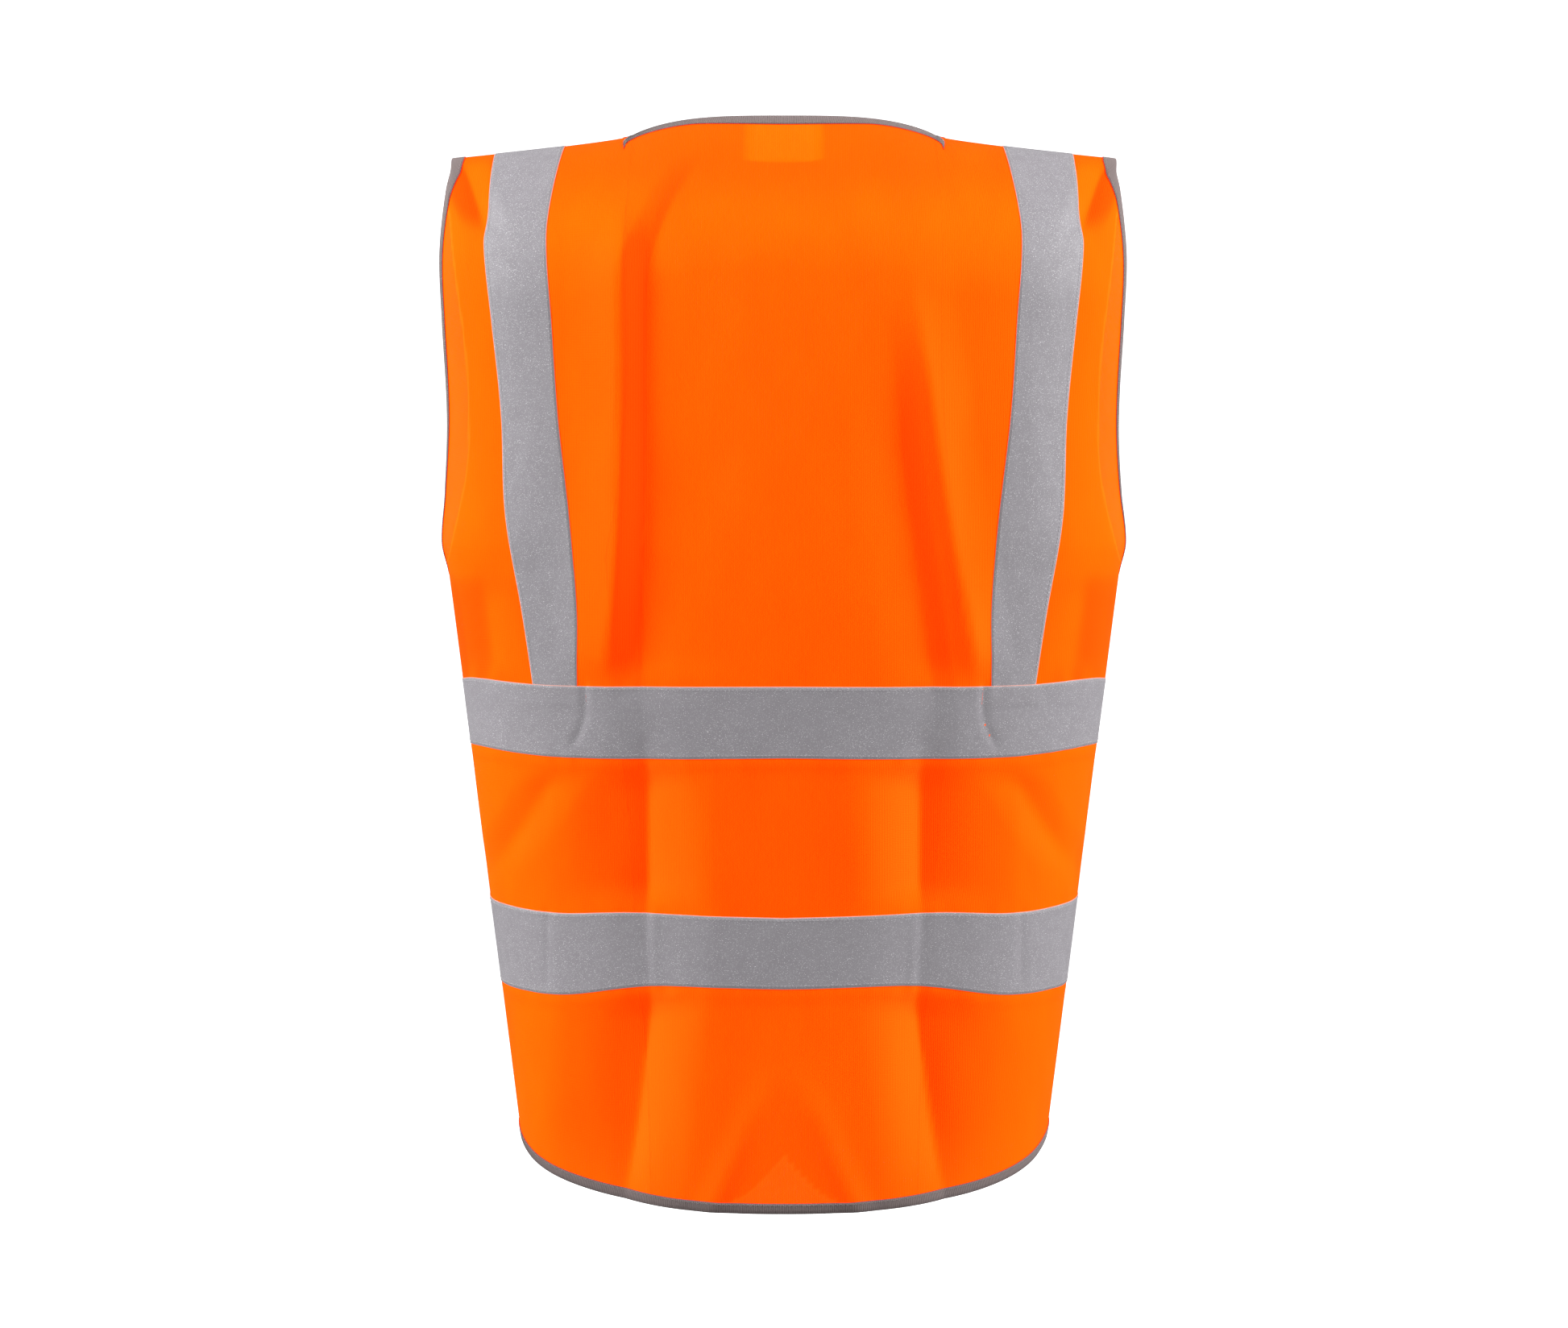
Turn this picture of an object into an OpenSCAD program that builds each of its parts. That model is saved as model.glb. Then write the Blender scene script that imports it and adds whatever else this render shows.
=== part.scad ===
// High-visibility vest: two waist bands, two brace tapes, grey bound edges, hook-and-loop front.
// Frame: +Z up, front faces -Y, wearer's left is +X. The origin is midway between the two points
// where the shoulder seams meet the neckline. "Drop" is the distance below that level.

/* [Body] */
// Half of the garment's width at the bottom of the armholes
underarm_half = 239; // [225:1:255]
// Drop of the bottom of the armhole
armhole_drop = 307; // [295:1:320]
// Narrowing of each side, per millimetre of drop below the armhole
side_taper = 0.124; // [0.08:0.002:0.15]
// Drop of the hem where it meets the side seams
side_hem_drop = 710; // [690:5:720]
// How much lower the back hem hangs at its middle than at the side seams
back_tail = 43; // [30:1:50]
// How much lower the front hem hangs near the middle than at the side seams
front_tail = 40; // [30:1:45]
// How far the armhole's back edge stands behind the line of the side seam
armhole_reach = 50; // [40:1:60]

/* [Neck and shoulders] */
// Half of the neckline's width
neck_half = 108; // [100:1:115]
// Height of the middle of the back neckline above the shoulder points
back_neck_rise = 11.6; // [5:0.1:14]
// How far the back neckline stands behind the shoulder line
back_neck_depth = 60; // [50:1:70]
// How far the shoulder seam falls from the neck to the armhole
shoulder_fall = 16; // [12:1:20]
// Drop over which the shoulders round over into the back and the front
shoulder_round = 110; // [100:1:120]
// Drop of the bottom of the V neckline
v_neck_drop = 262; // [240:1:280]

/* [Cloth and trims] */
// Thickness of the panel cloth
cloth = 0.6; // [0.4:0.1:0.8]
// Gap between layers that lie on each other
layer_gap = 0.4; // [0.3:0.05:0.5]
// Thickness of the reflective tape
tape = 0.4; // [0.3:0.05:0.5]
// Thickness of each leg of the edge binding
binding_leg = 0.5; // [0.4:0.1:0.6]
// Visible width of the edge binding
binding_width = 7; // [6:0.5:9]
// Height of each reflective band at the middle of the back
band_height = 50; // [50:1:55]
// Drop of the top edge of the upper band
upper_band_drop = 385.5; // [380:0.5:390]
// Drop of the top edge of the lower band
lower_band_drop = 546.5; // [535:0.5:555]

/* [Front closure] */
// How far each front edge passes the middle
overlap_half = 17; // [15:1:20]
// How far the outer front stands off the one below it
front_lift = 4.2; // [4:0.1:5]
// Width of each fastening tab
tab_width = 18; // [14:1:18]
// Height of each fastening tab
tab_height = 50; // [40:1:55]
// Thickness of each fastening tab
tab_thickness = 0.9; // [0.7:0.1:1]

/* [Labels] */
// Width of the neck label
neck_label_width = 48; // [40:1:55]
// Length of the neck label
neck_label_length = 31; // [25:1:40]
// Width of the care label
care_label_width = 32; // [25:1:35]
// Length of the care label
care_label_length = 58; // [50:1:65]

/* [Hidden] */

BACK = 1;
FRONT = -1;
seam_gap = 0.5;          // each panel stops this far from a seam's line
seam_clear = 3;          // trims stop this far from a seam's line
seam_width = 8;
seam_thickness = 0.9;
seam_offset = 0.6;       // gap between the panel and the seam allowances pressed to it
lift_from = 110;         // the outer front starts to stand off the one below it this far from the middle
lift_over = 84;          // and stands off fully after this distance
label_thickness = 0.4;
tab_drops = [276, 465, 600];
neck_label_shift = -5;
care_label_drop = 610;

// Profiles along the drop: each pair is [drop, value].
armhole_edge_profile = [[0, 235], [16, 236.5], [80, 242], [132, 239.8], [201, 236.8], [253, 239.3],
                        [288, 242.5], [armhole_drop, underarm_half]];
// Half of the width between the armholes across the front, which are cut further in than the back's
front_armhole_profile = [[16, 236.5], [50, 234.8], [80, 231.5], [105, 228], [150, 222], [190, 219.6], [230, 219.8],
                         [255, 224], [281, 230.5], [295, 234.5], [armhole_drop, underarm_half]];
back_depth_profile = [[-15, 110], [100, 128], [200, 138], [310, 142], [450, 140], [600, 138], [760, 136]];
front_depth_profile = [[-15, 94], [100, 116], [200, 131], [310, 138], [450, 141], [600, 140], [760, 137]];
roundness_profile = [[0, 0.62], [armhole_drop, 0.64], [450, 0.76], [760, 0.85]];
brace_outer_profile = [[0, 205], [46, 208], [76, 210], [133, 204], [200, 197], [268, 194], [336, 183], [390, 175]];
brace_inner_profile = [[0, 154], [46, 163], [76, 166], [133, 162], [200, 157], [268, 149], [336, 143], [390, 144]];
v_neck_profile = [[0, neck_half], [60, 91], [120, 69], [180, 39], [230, 6], [v_neck_drop, -overlap_half]];
// Profiles across the garment: each pair is [share of the way from the middle to the side seam, drop].
upper_band_rise = [[0, 0], [0.5, 0.5], [0.8, -2], [1, 1]];
lower_band_rise = [[0, 0], [0.35, -2], [0.55, 0], [0.8, -3], [1, -6]];
upper_band_extra = [[0, 0], [0.45, 1], [0.75, -2], [1, -4]];
lower_band_extra = [[0, 0], [0.28, 0], [0.55, 8], [0.8, 9], [1, 9]];

function between(a, b, t) = a + (b - a) * t;
function limit(t, low, high) = min(max(t, low), high);
function ease(t) = let (c = limit(t, 0, 1)) c * c * (3 - 2 * c);

// A smooth curve through the points of a profile.
function piece_of(t, p, i = 0) = i >= len(p) - 2 || t <= p[i + 1][0] ? i : piece_of(t, p, i + 1);
function slope_at(p, i) =
    let (a = max(i - 1, 0), b = min(i + 1, len(p) - 1)) (p[b][1] - p[a][1]) / (p[b][0] - p[a][0]);
function curve(at, p) =
    let (t = limit(at, p[0][0], p[len(p) - 1][0]), i = piece_of(t, p), span = p[i + 1][0] - p[i][0],
         s = (t - p[i][0]) / span)
    p[i][1] * (1 + 2 * s) * (1 - s) * (1 - s) + slope_at(p, i) * span * s * (1 - s) * (1 - s)
    + p[i + 1][1] * s * s * (3 - 2 * s) + slope_at(p, i + 1) * span * s * s * (s - 1);

// --- The garment's surface -------------------------------------------------------------------
function edge_half(drop) =
    drop < armhole_drop ? curve(drop, armhole_edge_profile) : underarm_half - (drop - armhole_drop) * side_taper;
function depth(side, drop) = curve(drop, side == BACK ? back_depth_profile : front_depth_profile);
function roundness(drop) = curve(drop, roundness_profile);

armhole_middle = (armhole_drop + shoulder_fall) / 2;
armhole_half = (armhole_drop - shoulder_fall) / 2;
function tip_round(drop) = let (t = limit((drop - shoulder_fall) / shoulder_round, 0, 1)) sqrt(1 - (1 - t) * (1 - t));
function armhole_depth(drop) =
    armhole_reach * sqrt(max(0, 1 - pow((drop - armhole_middle) / armhole_half, 2)));
// Angle round the garment of the armhole's edge, or of the side seam below it
function back_edge_angle(drop) =
    let (d = max(drop, shoulder_fall + 0.3),
         share = limit(armhole_depth(d) / (tip_round(d) * depth(BACK, d)), 0, 1))
    acos(pow(share, 1 / roundness(d)));
function full_half(drop) = edge_half(drop) / (drop >= armhole_drop ? 1 : sin(back_edge_angle(drop)));
function edge_angle(side, drop) =
    drop >= armhole_drop ? 90
    : side == BACK ? back_edge_angle(drop)
    : asin(min(1, curve(drop, front_armhole_profile) / full_half(drop)));
top_half = full_half(shoulder_fall);

function shoulder_drop(x) = shoulder_fall * pow(limit((abs(x) - neck_half) / (edge_half(0) - neck_half), 0, 1), 0.8);
function neckline_drop(x) = -back_neck_rise * (1 - pow(abs(x) / neck_half, 3.5));
function top_drop(side, angle) =
    let (x = top_half * sin(angle))
    abs(x) >= neck_half ? shoulder_drop(x) : side == BACK ? neckline_drop(x) : 0;
function top_depth(side, angle) =
    let (share = abs(top_half * sin(angle)) / neck_half)
    side == BACK && share < 1 ? back_neck_depth * sqrt(1 - share * share) : 0;
function top_tilt(side, angle) =
    side == BACK ? 35 * (1 - ease(abs(top_half * sin(angle)) / neck_half)) : 0;

// "way" runs down the garment: 0 at the neckline or shoulder seam, 1 where the shoulder has rounded over.
way_length = shoulder_round * PI / 2;
function drop_at(side, angle, way) =
    let (start = top_drop(side, angle), tilt = top_tilt(side, angle))
    way >= 1 ? start + shoulder_round + (way - 1) * way_length
    : start + shoulder_round * (cos(tilt) - cos(between(tilt, 90, way))) / cos(tilt);
function way_at(side, angle, drop) =
    let (start = top_drop(side, angle), tilt = top_tilt(side, angle), t = (drop - start) / shoulder_round)
    t >= 1 ? 1 + (t - 1) * shoulder_round / way_length
    : (acos(limit(cos(tilt) * (1 - t), -1, 1)) - tilt) / (90 - tilt);
// Point of the cloth's inner face. lift moves the middle of the outer front off the one below it.
function point(side, angle, way, lift = 0) =
    let (drop = drop_at(side, angle, way), tilt = top_tilt(side, angle), start = top_depth(side, angle),
         round = way >= 1 ? 1 : (sin(between(tilt, 90, way)) - sin(tilt)) / (1 - sin(tilt)),
         x = full_half(drop) * sin(angle),
         full = depth(side, drop) * pow(max(cos(angle), 0), roundness(drop)),
         y = between(start, full, round) + lift * ease((lift_from - x) / lift_over))
    [x, side * (seam_gap + y), -drop];
function unit(v) = v / norm(v);
function normal(side, angle, way, lift = 0) =
    let (a = min(angle, 89.4), w = max(way, 0.002), da = 0.3, dw = 0.002)
    side * unit(cross(point(side, a + da, w, lift) - point(side, a - da, w, lift),
                      point(side, a, w + dw, lift) - point(side, a, w - dw, lift)));

function angle_at(side, x, drop) = asin(limit(x / full_half(drop), -1, 1));
function spot(side, x, drop) = let (a = angle_at(side, x, drop)) [a, way_at(side, a, drop)];
function hem_drop(side, angle) =
    side_hem_drop + (side == BACK ? back_tail : front_tail) * (1 - pow(abs(angle) / 90, 2.25));

// --- Solids from grids on that surface -------------------------------------------------------
// grid[i][j] is [angle, way]; i runs towards the wearer's left and j runs down.
module sheet(side, grid, low, high, lift = 0) {
    ni = len(grid);
    nj = len(grid[0]);
    count = ni * nj;
    layers = [for (t = [high, low]) for (row = grid) for (g = row)
              point(side, g[0], g[1], lift) + t * normal(side, g[0], g[1], lift)];
    function at(i, j, layer) = layer * count + i * nj + j;
    function quad(a, b, c, d) = side == BACK ? [[a, b, c], [a, c, d]] : [[a, c, b], [a, d, c]];
    // The cells of the two halves are split along opposite diagonals, so that they mirror each other.
    function cell(a, b, c, d, i) = grid[i][0][0] + grid[i + 1][0][0] > 0 ? quad(b, c, d, a) : quad(a, b, c, d);
    faces = [
        for (i = [0:ni - 2]) for (j = [0:nj - 2]) for (f = concat(
            cell(at(i, j, 0), at(i, j + 1, 0), at(i + 1, j + 1, 0), at(i + 1, j, 0), i),
            cell(at(i, j, 1), at(i + 1, j, 1), at(i + 1, j + 1, 1), at(i, j + 1, 1), i))) f,
        for (i = [0:ni - 2]) for (f = concat(
            quad(at(i, 0, 0), at(i + 1, 0, 0), at(i + 1, 0, 1), at(i, 0, 1)),
            quad(at(i, nj - 1, 0), at(i, nj - 1, 1), at(i + 1, nj - 1, 1), at(i + 1, nj - 1, 0)))) f,
        for (j = [0:nj - 2]) for (f = concat(
            quad(at(0, j, 0), at(0, j, 1), at(0, j + 1, 1), at(0, j + 1, 0)),
            quad(at(ni - 1, j, 0), at(ni - 1, j + 1, 0), at(ni - 1, j + 1, 1), at(ni - 1, j, 1)))) f
    ];
    polyhedron(points = layers, faces = faces);
}

// A folded binding along an edge. path is a list of [angle, way]; inward is 1 or -1, and says on
// which side of the path the cloth lies.
module binding(side, path, inward, lift = 0, gap = layer_gap) {
    n = len(path);
    edge = [for (g = path) point(side, g[0], g[1], lift)];
    up = [for (g = path) normal(side, g[0], g[1], lift)];
    along = [for (k = [0:n - 1]) unit(edge[min(k + 1, n - 1)] - edge[max(k - 1, 0)])];
    into = [for (k = [0:n - 1]) inward * unit(cross(up[k], along[k]))];
    inner = [for (k = [0:n - 1]) inside(side, path[k], into[k], lift)];
    top = cloth + gap;
    low = -gap;
    wrap = 0.4;
    rings = [for (k = [0:n - 1])
        let (e = edge[k], u = up[k], o = -into[k], q = point(side, inner[k][0], inner[k][1], lift),
             v = normal(side, inner[k][0], inner[k][1], lift))
        [q + top * v, q + (top + binding_leg) * v, e + (top + binding_leg) * u + wrap * o,
         e + cloth / 2 * u + (wrap + binding_leg) * o, e + (low - binding_leg) * u + wrap * o,
         q + (low - binding_leg) * v, q + low * v, e + low * u + wrap * o, e + top * u + wrap * o]];
    m = len(rings[0]);
    flat = [for (r = rings) for (p = r) p];
    function tri(a, b, c) = inward > 0 ? [a, c, b] : [a, b, c];
    // The end's outline is not convex: its two legs and its fold are closed with separate triangles.
    cap = [[0, 1, 2], [0, 2, 8], [8, 2, 3], [8, 3, 7], [7, 3, 4], [7, 4, 5], [7, 5, 6]];
    // Both faces of a leg are split along the same diagonal, so that a twisted leg doesn't cross itself.
    function quad(a, b, c, d, back) = back ? [tri(b, c, d), tri(b, d, a)] : [tri(a, b, c), tri(a, c, d)];
    faces = [
        for (k = [0:n - 2]) for (i = [0:m - 1])
            for (f = quad(k * m + i, k * m + (i + 1) % m, (k + 1) * m + (i + 1) % m, (k + 1) * m + i,
                          i == 4 || i == 8)) f,
        for (c = cap) tri(c[0], c[2], c[1]),
        for (c = cap) tri((n - 1) * m + c[0], (n - 1) * m + c[1], (n - 1) * m + c[2])
    ];
    polyhedron(points = flat, faces = faces);
}
// The spot on the cloth that lies a binding's width inside an edge's spot.
function inside(side, g, into, lift) =
    let (da = min(0.3, 89.9 - min(g[0], 89.6)), dw = 0.003, a = min(g[0], 89.6), w = max(g[1], dw),
         pa = (point(side, a + da, w, lift) - point(side, a - da, w, lift)) / (2 * da),
         pw = (point(side, a, w + dw, lift) - point(side, a, w - dw, lift)) / (2 * dw),
         aa = pa * pa, ww = pw * pw, aw = pa * pw, ia = into * pa, iw = into * pw,
         det = aa * ww - aw * aw)
    [limit(g[0] + binding_width * (ia * ww - iw * aw) / det, -90, 90),
     max(g[1] + binding_width * (iw * aa - ia * aw) / det, 0)];

function steps(n) = [for (i = [0:n]) i / n];

// --- Rows down the panels --------------------------------------------------------------------
// The front armhole runs nearly level into the side seam, so the last rows above the seam are close together.
armhole_turns = concat([for (a = [90:10:170]) armhole_middle - armhole_half * cos(a)],
                       [for (t = [0.8, 0.2, 0]) armhole_drop - t]);
side_levels = [for (k = [1:9]) between(armhole_drop, side_hem_drop - 60, k / 9)];
hem_levels = [for (k = [1:6]) side_hem_drop - 60 + 60 * sin(15 * k)];
round_rows = 12;
outer_drops = concat([for (k = [0:round_rows]) shoulder_fall + shoulder_round * (1 - cos(90 * k / round_rows))],
                     armhole_turns, side_levels, hem_levels);
rows = len(outer_drops) - 1;
function outer_angle(side, k) = edge_angle(side, outer_drops[k]);
function outer_way(side, k) = way_at(side, outer_angle(side, k), outer_drops[k]);
function hem_way(side, angle) = way_at(side, angle, hem_drop(side, angle));

// Back panel: columns to each side of the neckline's ends
neck_share = asin(neck_half / top_half) / edge_angle(BACK, shoulder_fall);
neck_turns = [for (turn = [-81:9:81]) asin(neck_half * sin(turn) / top_half)];
back_columns = concat([for (s = steps(9)) between(-1, -neck_share, s)],
                      [for (a = neck_turns) a / outer_angle(BACK, 0)],
                      [for (s = steps(9)) between(neck_share, 1, s)]);
function back_cell(u, k) =
    let (angle = u * outer_angle(BACK, k), way = outer_way(BACK, k), v = k / rows)
    [angle, way + pow(v, 4) * (hem_way(BACK, angle) - outer_way(BACK, rows))];

// The front edge: V neck, straight closure, rounded lower corner
corner_x = 72;
corner_drop = 650;
corner_wide = corner_x + overlap_half;
corner_end = hem_drop(FRONT, asin(corner_x / edge_half(side_hem_drop + front_tail)));
corner_tall = corner_end - corner_drop;
function front_edge_x(drop) =
    drop <= v_neck_drop ? curve(drop, v_neck_profile)
    : drop <= corner_drop ? -overlap_half
    : corner_x - corner_wide * sqrt(max(0, 1 - pow((drop - corner_drop) / corner_tall, 2)));
corner_rows = len(hem_levels);
function inner_drop(k) =
    k <= round_rows ? outer_drops[k] - shoulder_fall
    : k >= rows - corner_rows ? corner_drop + corner_tall * sin(15 * (k - rows + corner_rows))
    : let (first = outer_drops[round_rows], last = outer_drops[rows - corner_rows])
      between(first - shoulder_fall, corner_drop, (outer_drops[k] - first) / (last - first));
function inner_spot(k) = spot(FRONT, front_edge_x(inner_drop(k)), inner_drop(k));
front_columns = 16;
function front_cell(s, k) =
    let (a = inner_spot(k), b = [outer_angle(FRONT, k), outer_way(FRONT, k)], angle = between(a[0], b[0], s),
         way = between(a[1], b[1], s), v = k / rows, last = inner_spot(rows),
         hem = hem_way(FRONT, between(last[0], 90, s)) - between(last[1], outer_way(FRONT, rows), s))
    [angle, way + pow(v, 4) * hem];

// --- Pieces ----------------------------------------------------------------------------------
orange = "#ff6900";
grey_tape = "#a59fa6";
grey_binding = "#736d6c";
pale = "#e8e6e2";

module back_panel() {
    color(orange) sheet(BACK, [for (u = back_columns) [for (k = [0:rows]) back_cell(u, k)]], 0, cloth);
}

module front_panel(lift) {
    color(orange)
        sheet(FRONT, [for (s = steps(front_columns)) [for (k = [0:rows]) front_cell(s, k)]], 0, cloth, lift);
}

tape_low = cloth + layer_gap;
tape_high = tape_low + tape;

function band_top(upper, angle) =
    let (u = abs(angle) / 90)
    upper ? upper_band_drop + curve(u, upper_band_rise) : lower_band_drop + curve(u, lower_band_rise);
function band_bottom(upper, angle) =
    let (u = abs(angle) / 90)
    band_top(upper, angle) + band_height + (upper ? curve(u, upper_band_extra) : curve(u, lower_band_extra))
    - (upper ? curve(u, upper_band_rise) : curve(u, lower_band_rise)) / 2;
function band_cell(side, upper, angle, t) =
    [angle, way_at(side, angle, between(band_top(upper, angle), band_bottom(upper, angle), t))];
// Angle of the last spot that is seam_clear short of the side seam
function clear_angle(drop) = acos(pow(seam_clear / 140, 1 / roundness(drop)));

module back_band(upper) {
    last = clear_angle(upper ? 410 : 575);
    color(grey_tape)
        sheet(BACK, [for (s = steps(44)) [for (t = steps(2)) band_cell(BACK, upper, between(-last, last, s), t)]],
              tape_low, tape_high);
}

module front_band(upper, lift) {
    middle = upper ? 410 : 575;
    first = angle_at(FRONT, -overlap_half + binding_width + 1.5, middle);
    last = clear_angle(middle);
    color(grey_tape)
        sheet(FRONT, [for (s = steps(24)) [for (t = steps(2)) band_cell(FRONT, upper, between(first, last, s), t)]],
              tape_low, tape_high, lift);
}

// A brace tape, from the shoulder seam down to the upper band
brace_rows = 22;
module brace_tape(side, lift = 0) {
    first = seam_clear * 0.6 / shoulder_round;
    last_drop = upper_band_drop - 2.5;
    function cell(s, t) =
        let (guess = between(shoulder_drop(180), last_drop, t * t),
             x = between(curve(guess, brace_inner_profile), curve(guess, brace_outer_profile), s),
             a = angle_at(side, x, guess), start = top_drop(side, a),
             drop = between(start, last_drop, t * t))
        [a, max(first, way_at(side, a, drop))];
    color(grey_tape)
        sheet(side, [for (s = steps(4)) [for (t = steps(brace_rows)) cell(s, t)]], tape_low, tape_high, lift);
}

module neck_binding() {
    // The sharp turns at the neckline's ends are left out.
    path = [for (k = [1:len(neck_turns) - 2]) [neck_turns[k], 0]];
    color(grey_binding) binding(BACK, path, 1, 0, 1.5 * layer_gap);
}

module back_hem_binding() {
    last = clear_angle(side_hem_drop);
    turns = [for (s = steps(36)) last * sin(between(-90, 90, s))];
    color(grey_binding) binding(BACK, [for (a = turns) [a, hem_way(BACK, a)]], -1);
}

module front_hem_binding(lift) {
    first = inner_spot(rows)[0];
    last = clear_angle(side_hem_drop);
    turns = [for (s = steps(16)) between(first + 0.3, last, sin(90 * s))];
    color(grey_binding) binding(FRONT, [for (a = turns) [a, hem_way(FRONT, a)]], 1, lift);
}

// The front edge's binding: down the V neck, the closure and round the lower corner
module front_edge_binding(lift) {
    last_drop = corner_drop + corner_tall * sin(82);
    path = concat([spot(FRONT, neck_half, seam_clear / 2)], [for (k = [2:rows - 1]) inner_spot(k)],
                  [spot(FRONT, front_edge_x(last_drop), last_drop)]);
    color(grey_binding) binding(FRONT, path, 1, lift);
}

// One half of an armhole's binding, from the shoulder seam to the side seam
module armhole_binding(side) {
    first = shoulder_fall + seam_clear / 2;
    last = armhole_drop - (side == BACK ? 0.8 : 0.2);
    between_ends = [for (d = outer_drops) if (d > first + 1 && d < last - 0.01) d];
    path = [for (d = concat([first], between_ends, [last])) let (a = edge_angle(side, d)) [a, way_at(side, a, d)]];
    color(grey_binding) binding(side, path, side, 0, 2 * layer_gap);
}

// The overlocked allowance of a shoulder seam, pressed towards the back
module shoulder_seam() {
    first = asin((neck_half + binding_width) / top_half);
    last = asin((edge_half(shoulder_fall) - binding_width - 2) / top_half);
    function cell(s, t) = [between(first, last, s), 0.012 + t * seam_width / way_length];
    color(orange)
        sheet(BACK, [for (s = steps(12)) [for (t = steps(2)) cell(s, t)]], -seam_offset - seam_thickness, -seam_offset);
}

// The overlocked allowance of a side seam, pressed towards the back
module side_seam() {
    first = armhole_drop + binding_width + 2;
    last = side_hem_drop - binding_width - 2;
    function cell(s, t) =
        let (d = between(last, first, s), a = acos(pow((0.6 + t * seam_width) / 140, 1 / roundness(d))))
        [a, way_at(BACK, a, d)];
    color(orange)
        sheet(BACK, [for (t = [1, 0.5, 0]) [for (s = steps(16)) cell(1 - s, t)]],
              -seam_offset - seam_thickness, -seam_offset);
}

// The labels are flat, and hang from one sewn edge.
neck_label_tilt = 38;
neck_label_depth = 3;
module neck_label() {
    a = asin(neck_label_shift / top_half);
    w = (binding_width + 3) / 110;
    color(pale)
        translate(point(BACK, a, w) - neck_label_depth * normal(BACK, a, w))
        rotate([neck_label_tilt, 0, 0])
        translate([-neck_label_width / 2, -label_thickness, -neck_label_length])
        cube([neck_label_width, label_thickness, neck_label_length]);
}

care_label_slant = 6;
module care_label() {
    a = acos(pow(4 / 140, 1 / roundness(care_label_drop)));
    w = way_at(BACK, a, care_label_drop);
    color(pale)
        translate(point(BACK, a, w) - (seam_offset + seam_thickness + 0.6) * normal(BACK, a, w))
        rotate([0, atan(side_taper), 0])
        rotate([0, 0, care_label_slant])
        translate([-label_thickness, 0, -care_label_length])
        cube([label_thickness, care_label_width, care_label_length]);
}

// A fastening tab on the front closure's middle line, with its layer between two offsets from the cloth
module tab(drop, low, high, shade, lift = 0) {
    first = angle_at(FRONT, -tab_width / 2, drop);
    function cell(s, t) =
        let (a = between(first, -first, s)) [a, way_at(FRONT, a, drop + t * tab_height)];
    color(shade) sheet(FRONT, [for (s = steps(3)) [for (t = steps(4)) cell(s, t)]], low, high, lift);
}
module loop_tab(k) {
    tab(tab_drops[k], -layer_gap - tab_thickness, -layer_gap, "#d2691e", front_lift);
}
module hook_tab(k) {
    tab(tab_drops[k], tape_low, tape_low + tab_thickness, "#c45a14");
}

module on_right() {
    mirror([1, 0, 0]) children();
}

back_panel();
brace_tape(BACK);  // back_brace_tape_left
on_right() brace_tape(BACK);  // back_brace_tape_right
back_band(true);  // back_band_upper
back_band(false);  // back_band_lower
neck_binding();  // back_neck_binding
back_hem_binding();
armhole_binding(BACK);  // armhole_binding_back_left
on_right() armhole_binding(BACK);  // armhole_binding_back_right
shoulder_seam();  // shoulder_seam_left
on_right() shoulder_seam();  // shoulder_seam_right
side_seam();  // side_seam_left
on_right() side_seam();  // side_seam_right
neck_label();
care_label();

front_panel(front_lift);  // front_panel_left
brace_tape(FRONT);  // front_brace_tape_left
front_band(true, front_lift);  // front_band_upper_left
front_band(false, front_lift);  // front_band_lower_left
front_edge_binding(front_lift);  // front_edge_binding_left
front_hem_binding(front_lift);  // front_hem_binding_left
armhole_binding(FRONT);  // armhole_binding_front_left
loop_tab(0);  // loop_tab_top
loop_tab(1);  // loop_tab_middle
loop_tab(2);  // loop_tab_bottom

on_right() front_panel(0);  // front_panel_right
on_right() brace_tape(FRONT);  // front_brace_tape_right
on_right() front_band(true, 0);  // front_band_upper_right
on_right() front_band(false, 0);  // front_band_lower_right
on_right() front_edge_binding(0);  // front_edge_binding_right
on_right() front_hem_binding(0);  // front_hem_binding_right
on_right() armhole_binding(FRONT);  // armhole_binding_front_right
hook_tab(0);  // hook_tab_top
hook_tab(1);  // hook_tab_middle
hook_tab(2);  // hook_tab_bottom
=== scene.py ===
import math

import bmesh
import bpy
import numpy as np
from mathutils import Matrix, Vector


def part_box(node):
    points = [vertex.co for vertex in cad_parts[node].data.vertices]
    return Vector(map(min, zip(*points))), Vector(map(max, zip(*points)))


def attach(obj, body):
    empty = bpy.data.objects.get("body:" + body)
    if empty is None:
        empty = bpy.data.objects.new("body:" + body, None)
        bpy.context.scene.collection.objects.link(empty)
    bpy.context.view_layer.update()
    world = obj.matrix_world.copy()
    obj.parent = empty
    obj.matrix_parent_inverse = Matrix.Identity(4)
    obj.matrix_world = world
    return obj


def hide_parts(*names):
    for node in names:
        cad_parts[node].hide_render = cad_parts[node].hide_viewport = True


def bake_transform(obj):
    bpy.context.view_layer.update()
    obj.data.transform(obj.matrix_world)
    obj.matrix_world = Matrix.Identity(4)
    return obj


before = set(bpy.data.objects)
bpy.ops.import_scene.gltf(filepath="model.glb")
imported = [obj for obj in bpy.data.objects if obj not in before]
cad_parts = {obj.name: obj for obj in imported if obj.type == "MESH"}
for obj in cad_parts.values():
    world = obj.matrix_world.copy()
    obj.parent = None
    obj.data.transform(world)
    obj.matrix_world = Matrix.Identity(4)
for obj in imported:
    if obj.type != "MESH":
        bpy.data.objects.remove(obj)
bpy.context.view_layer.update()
print("vest: frame loaded")

# ---- cut of the vest: lengths in millimetres, "drop" is the distance below the shoulder points ----

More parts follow.
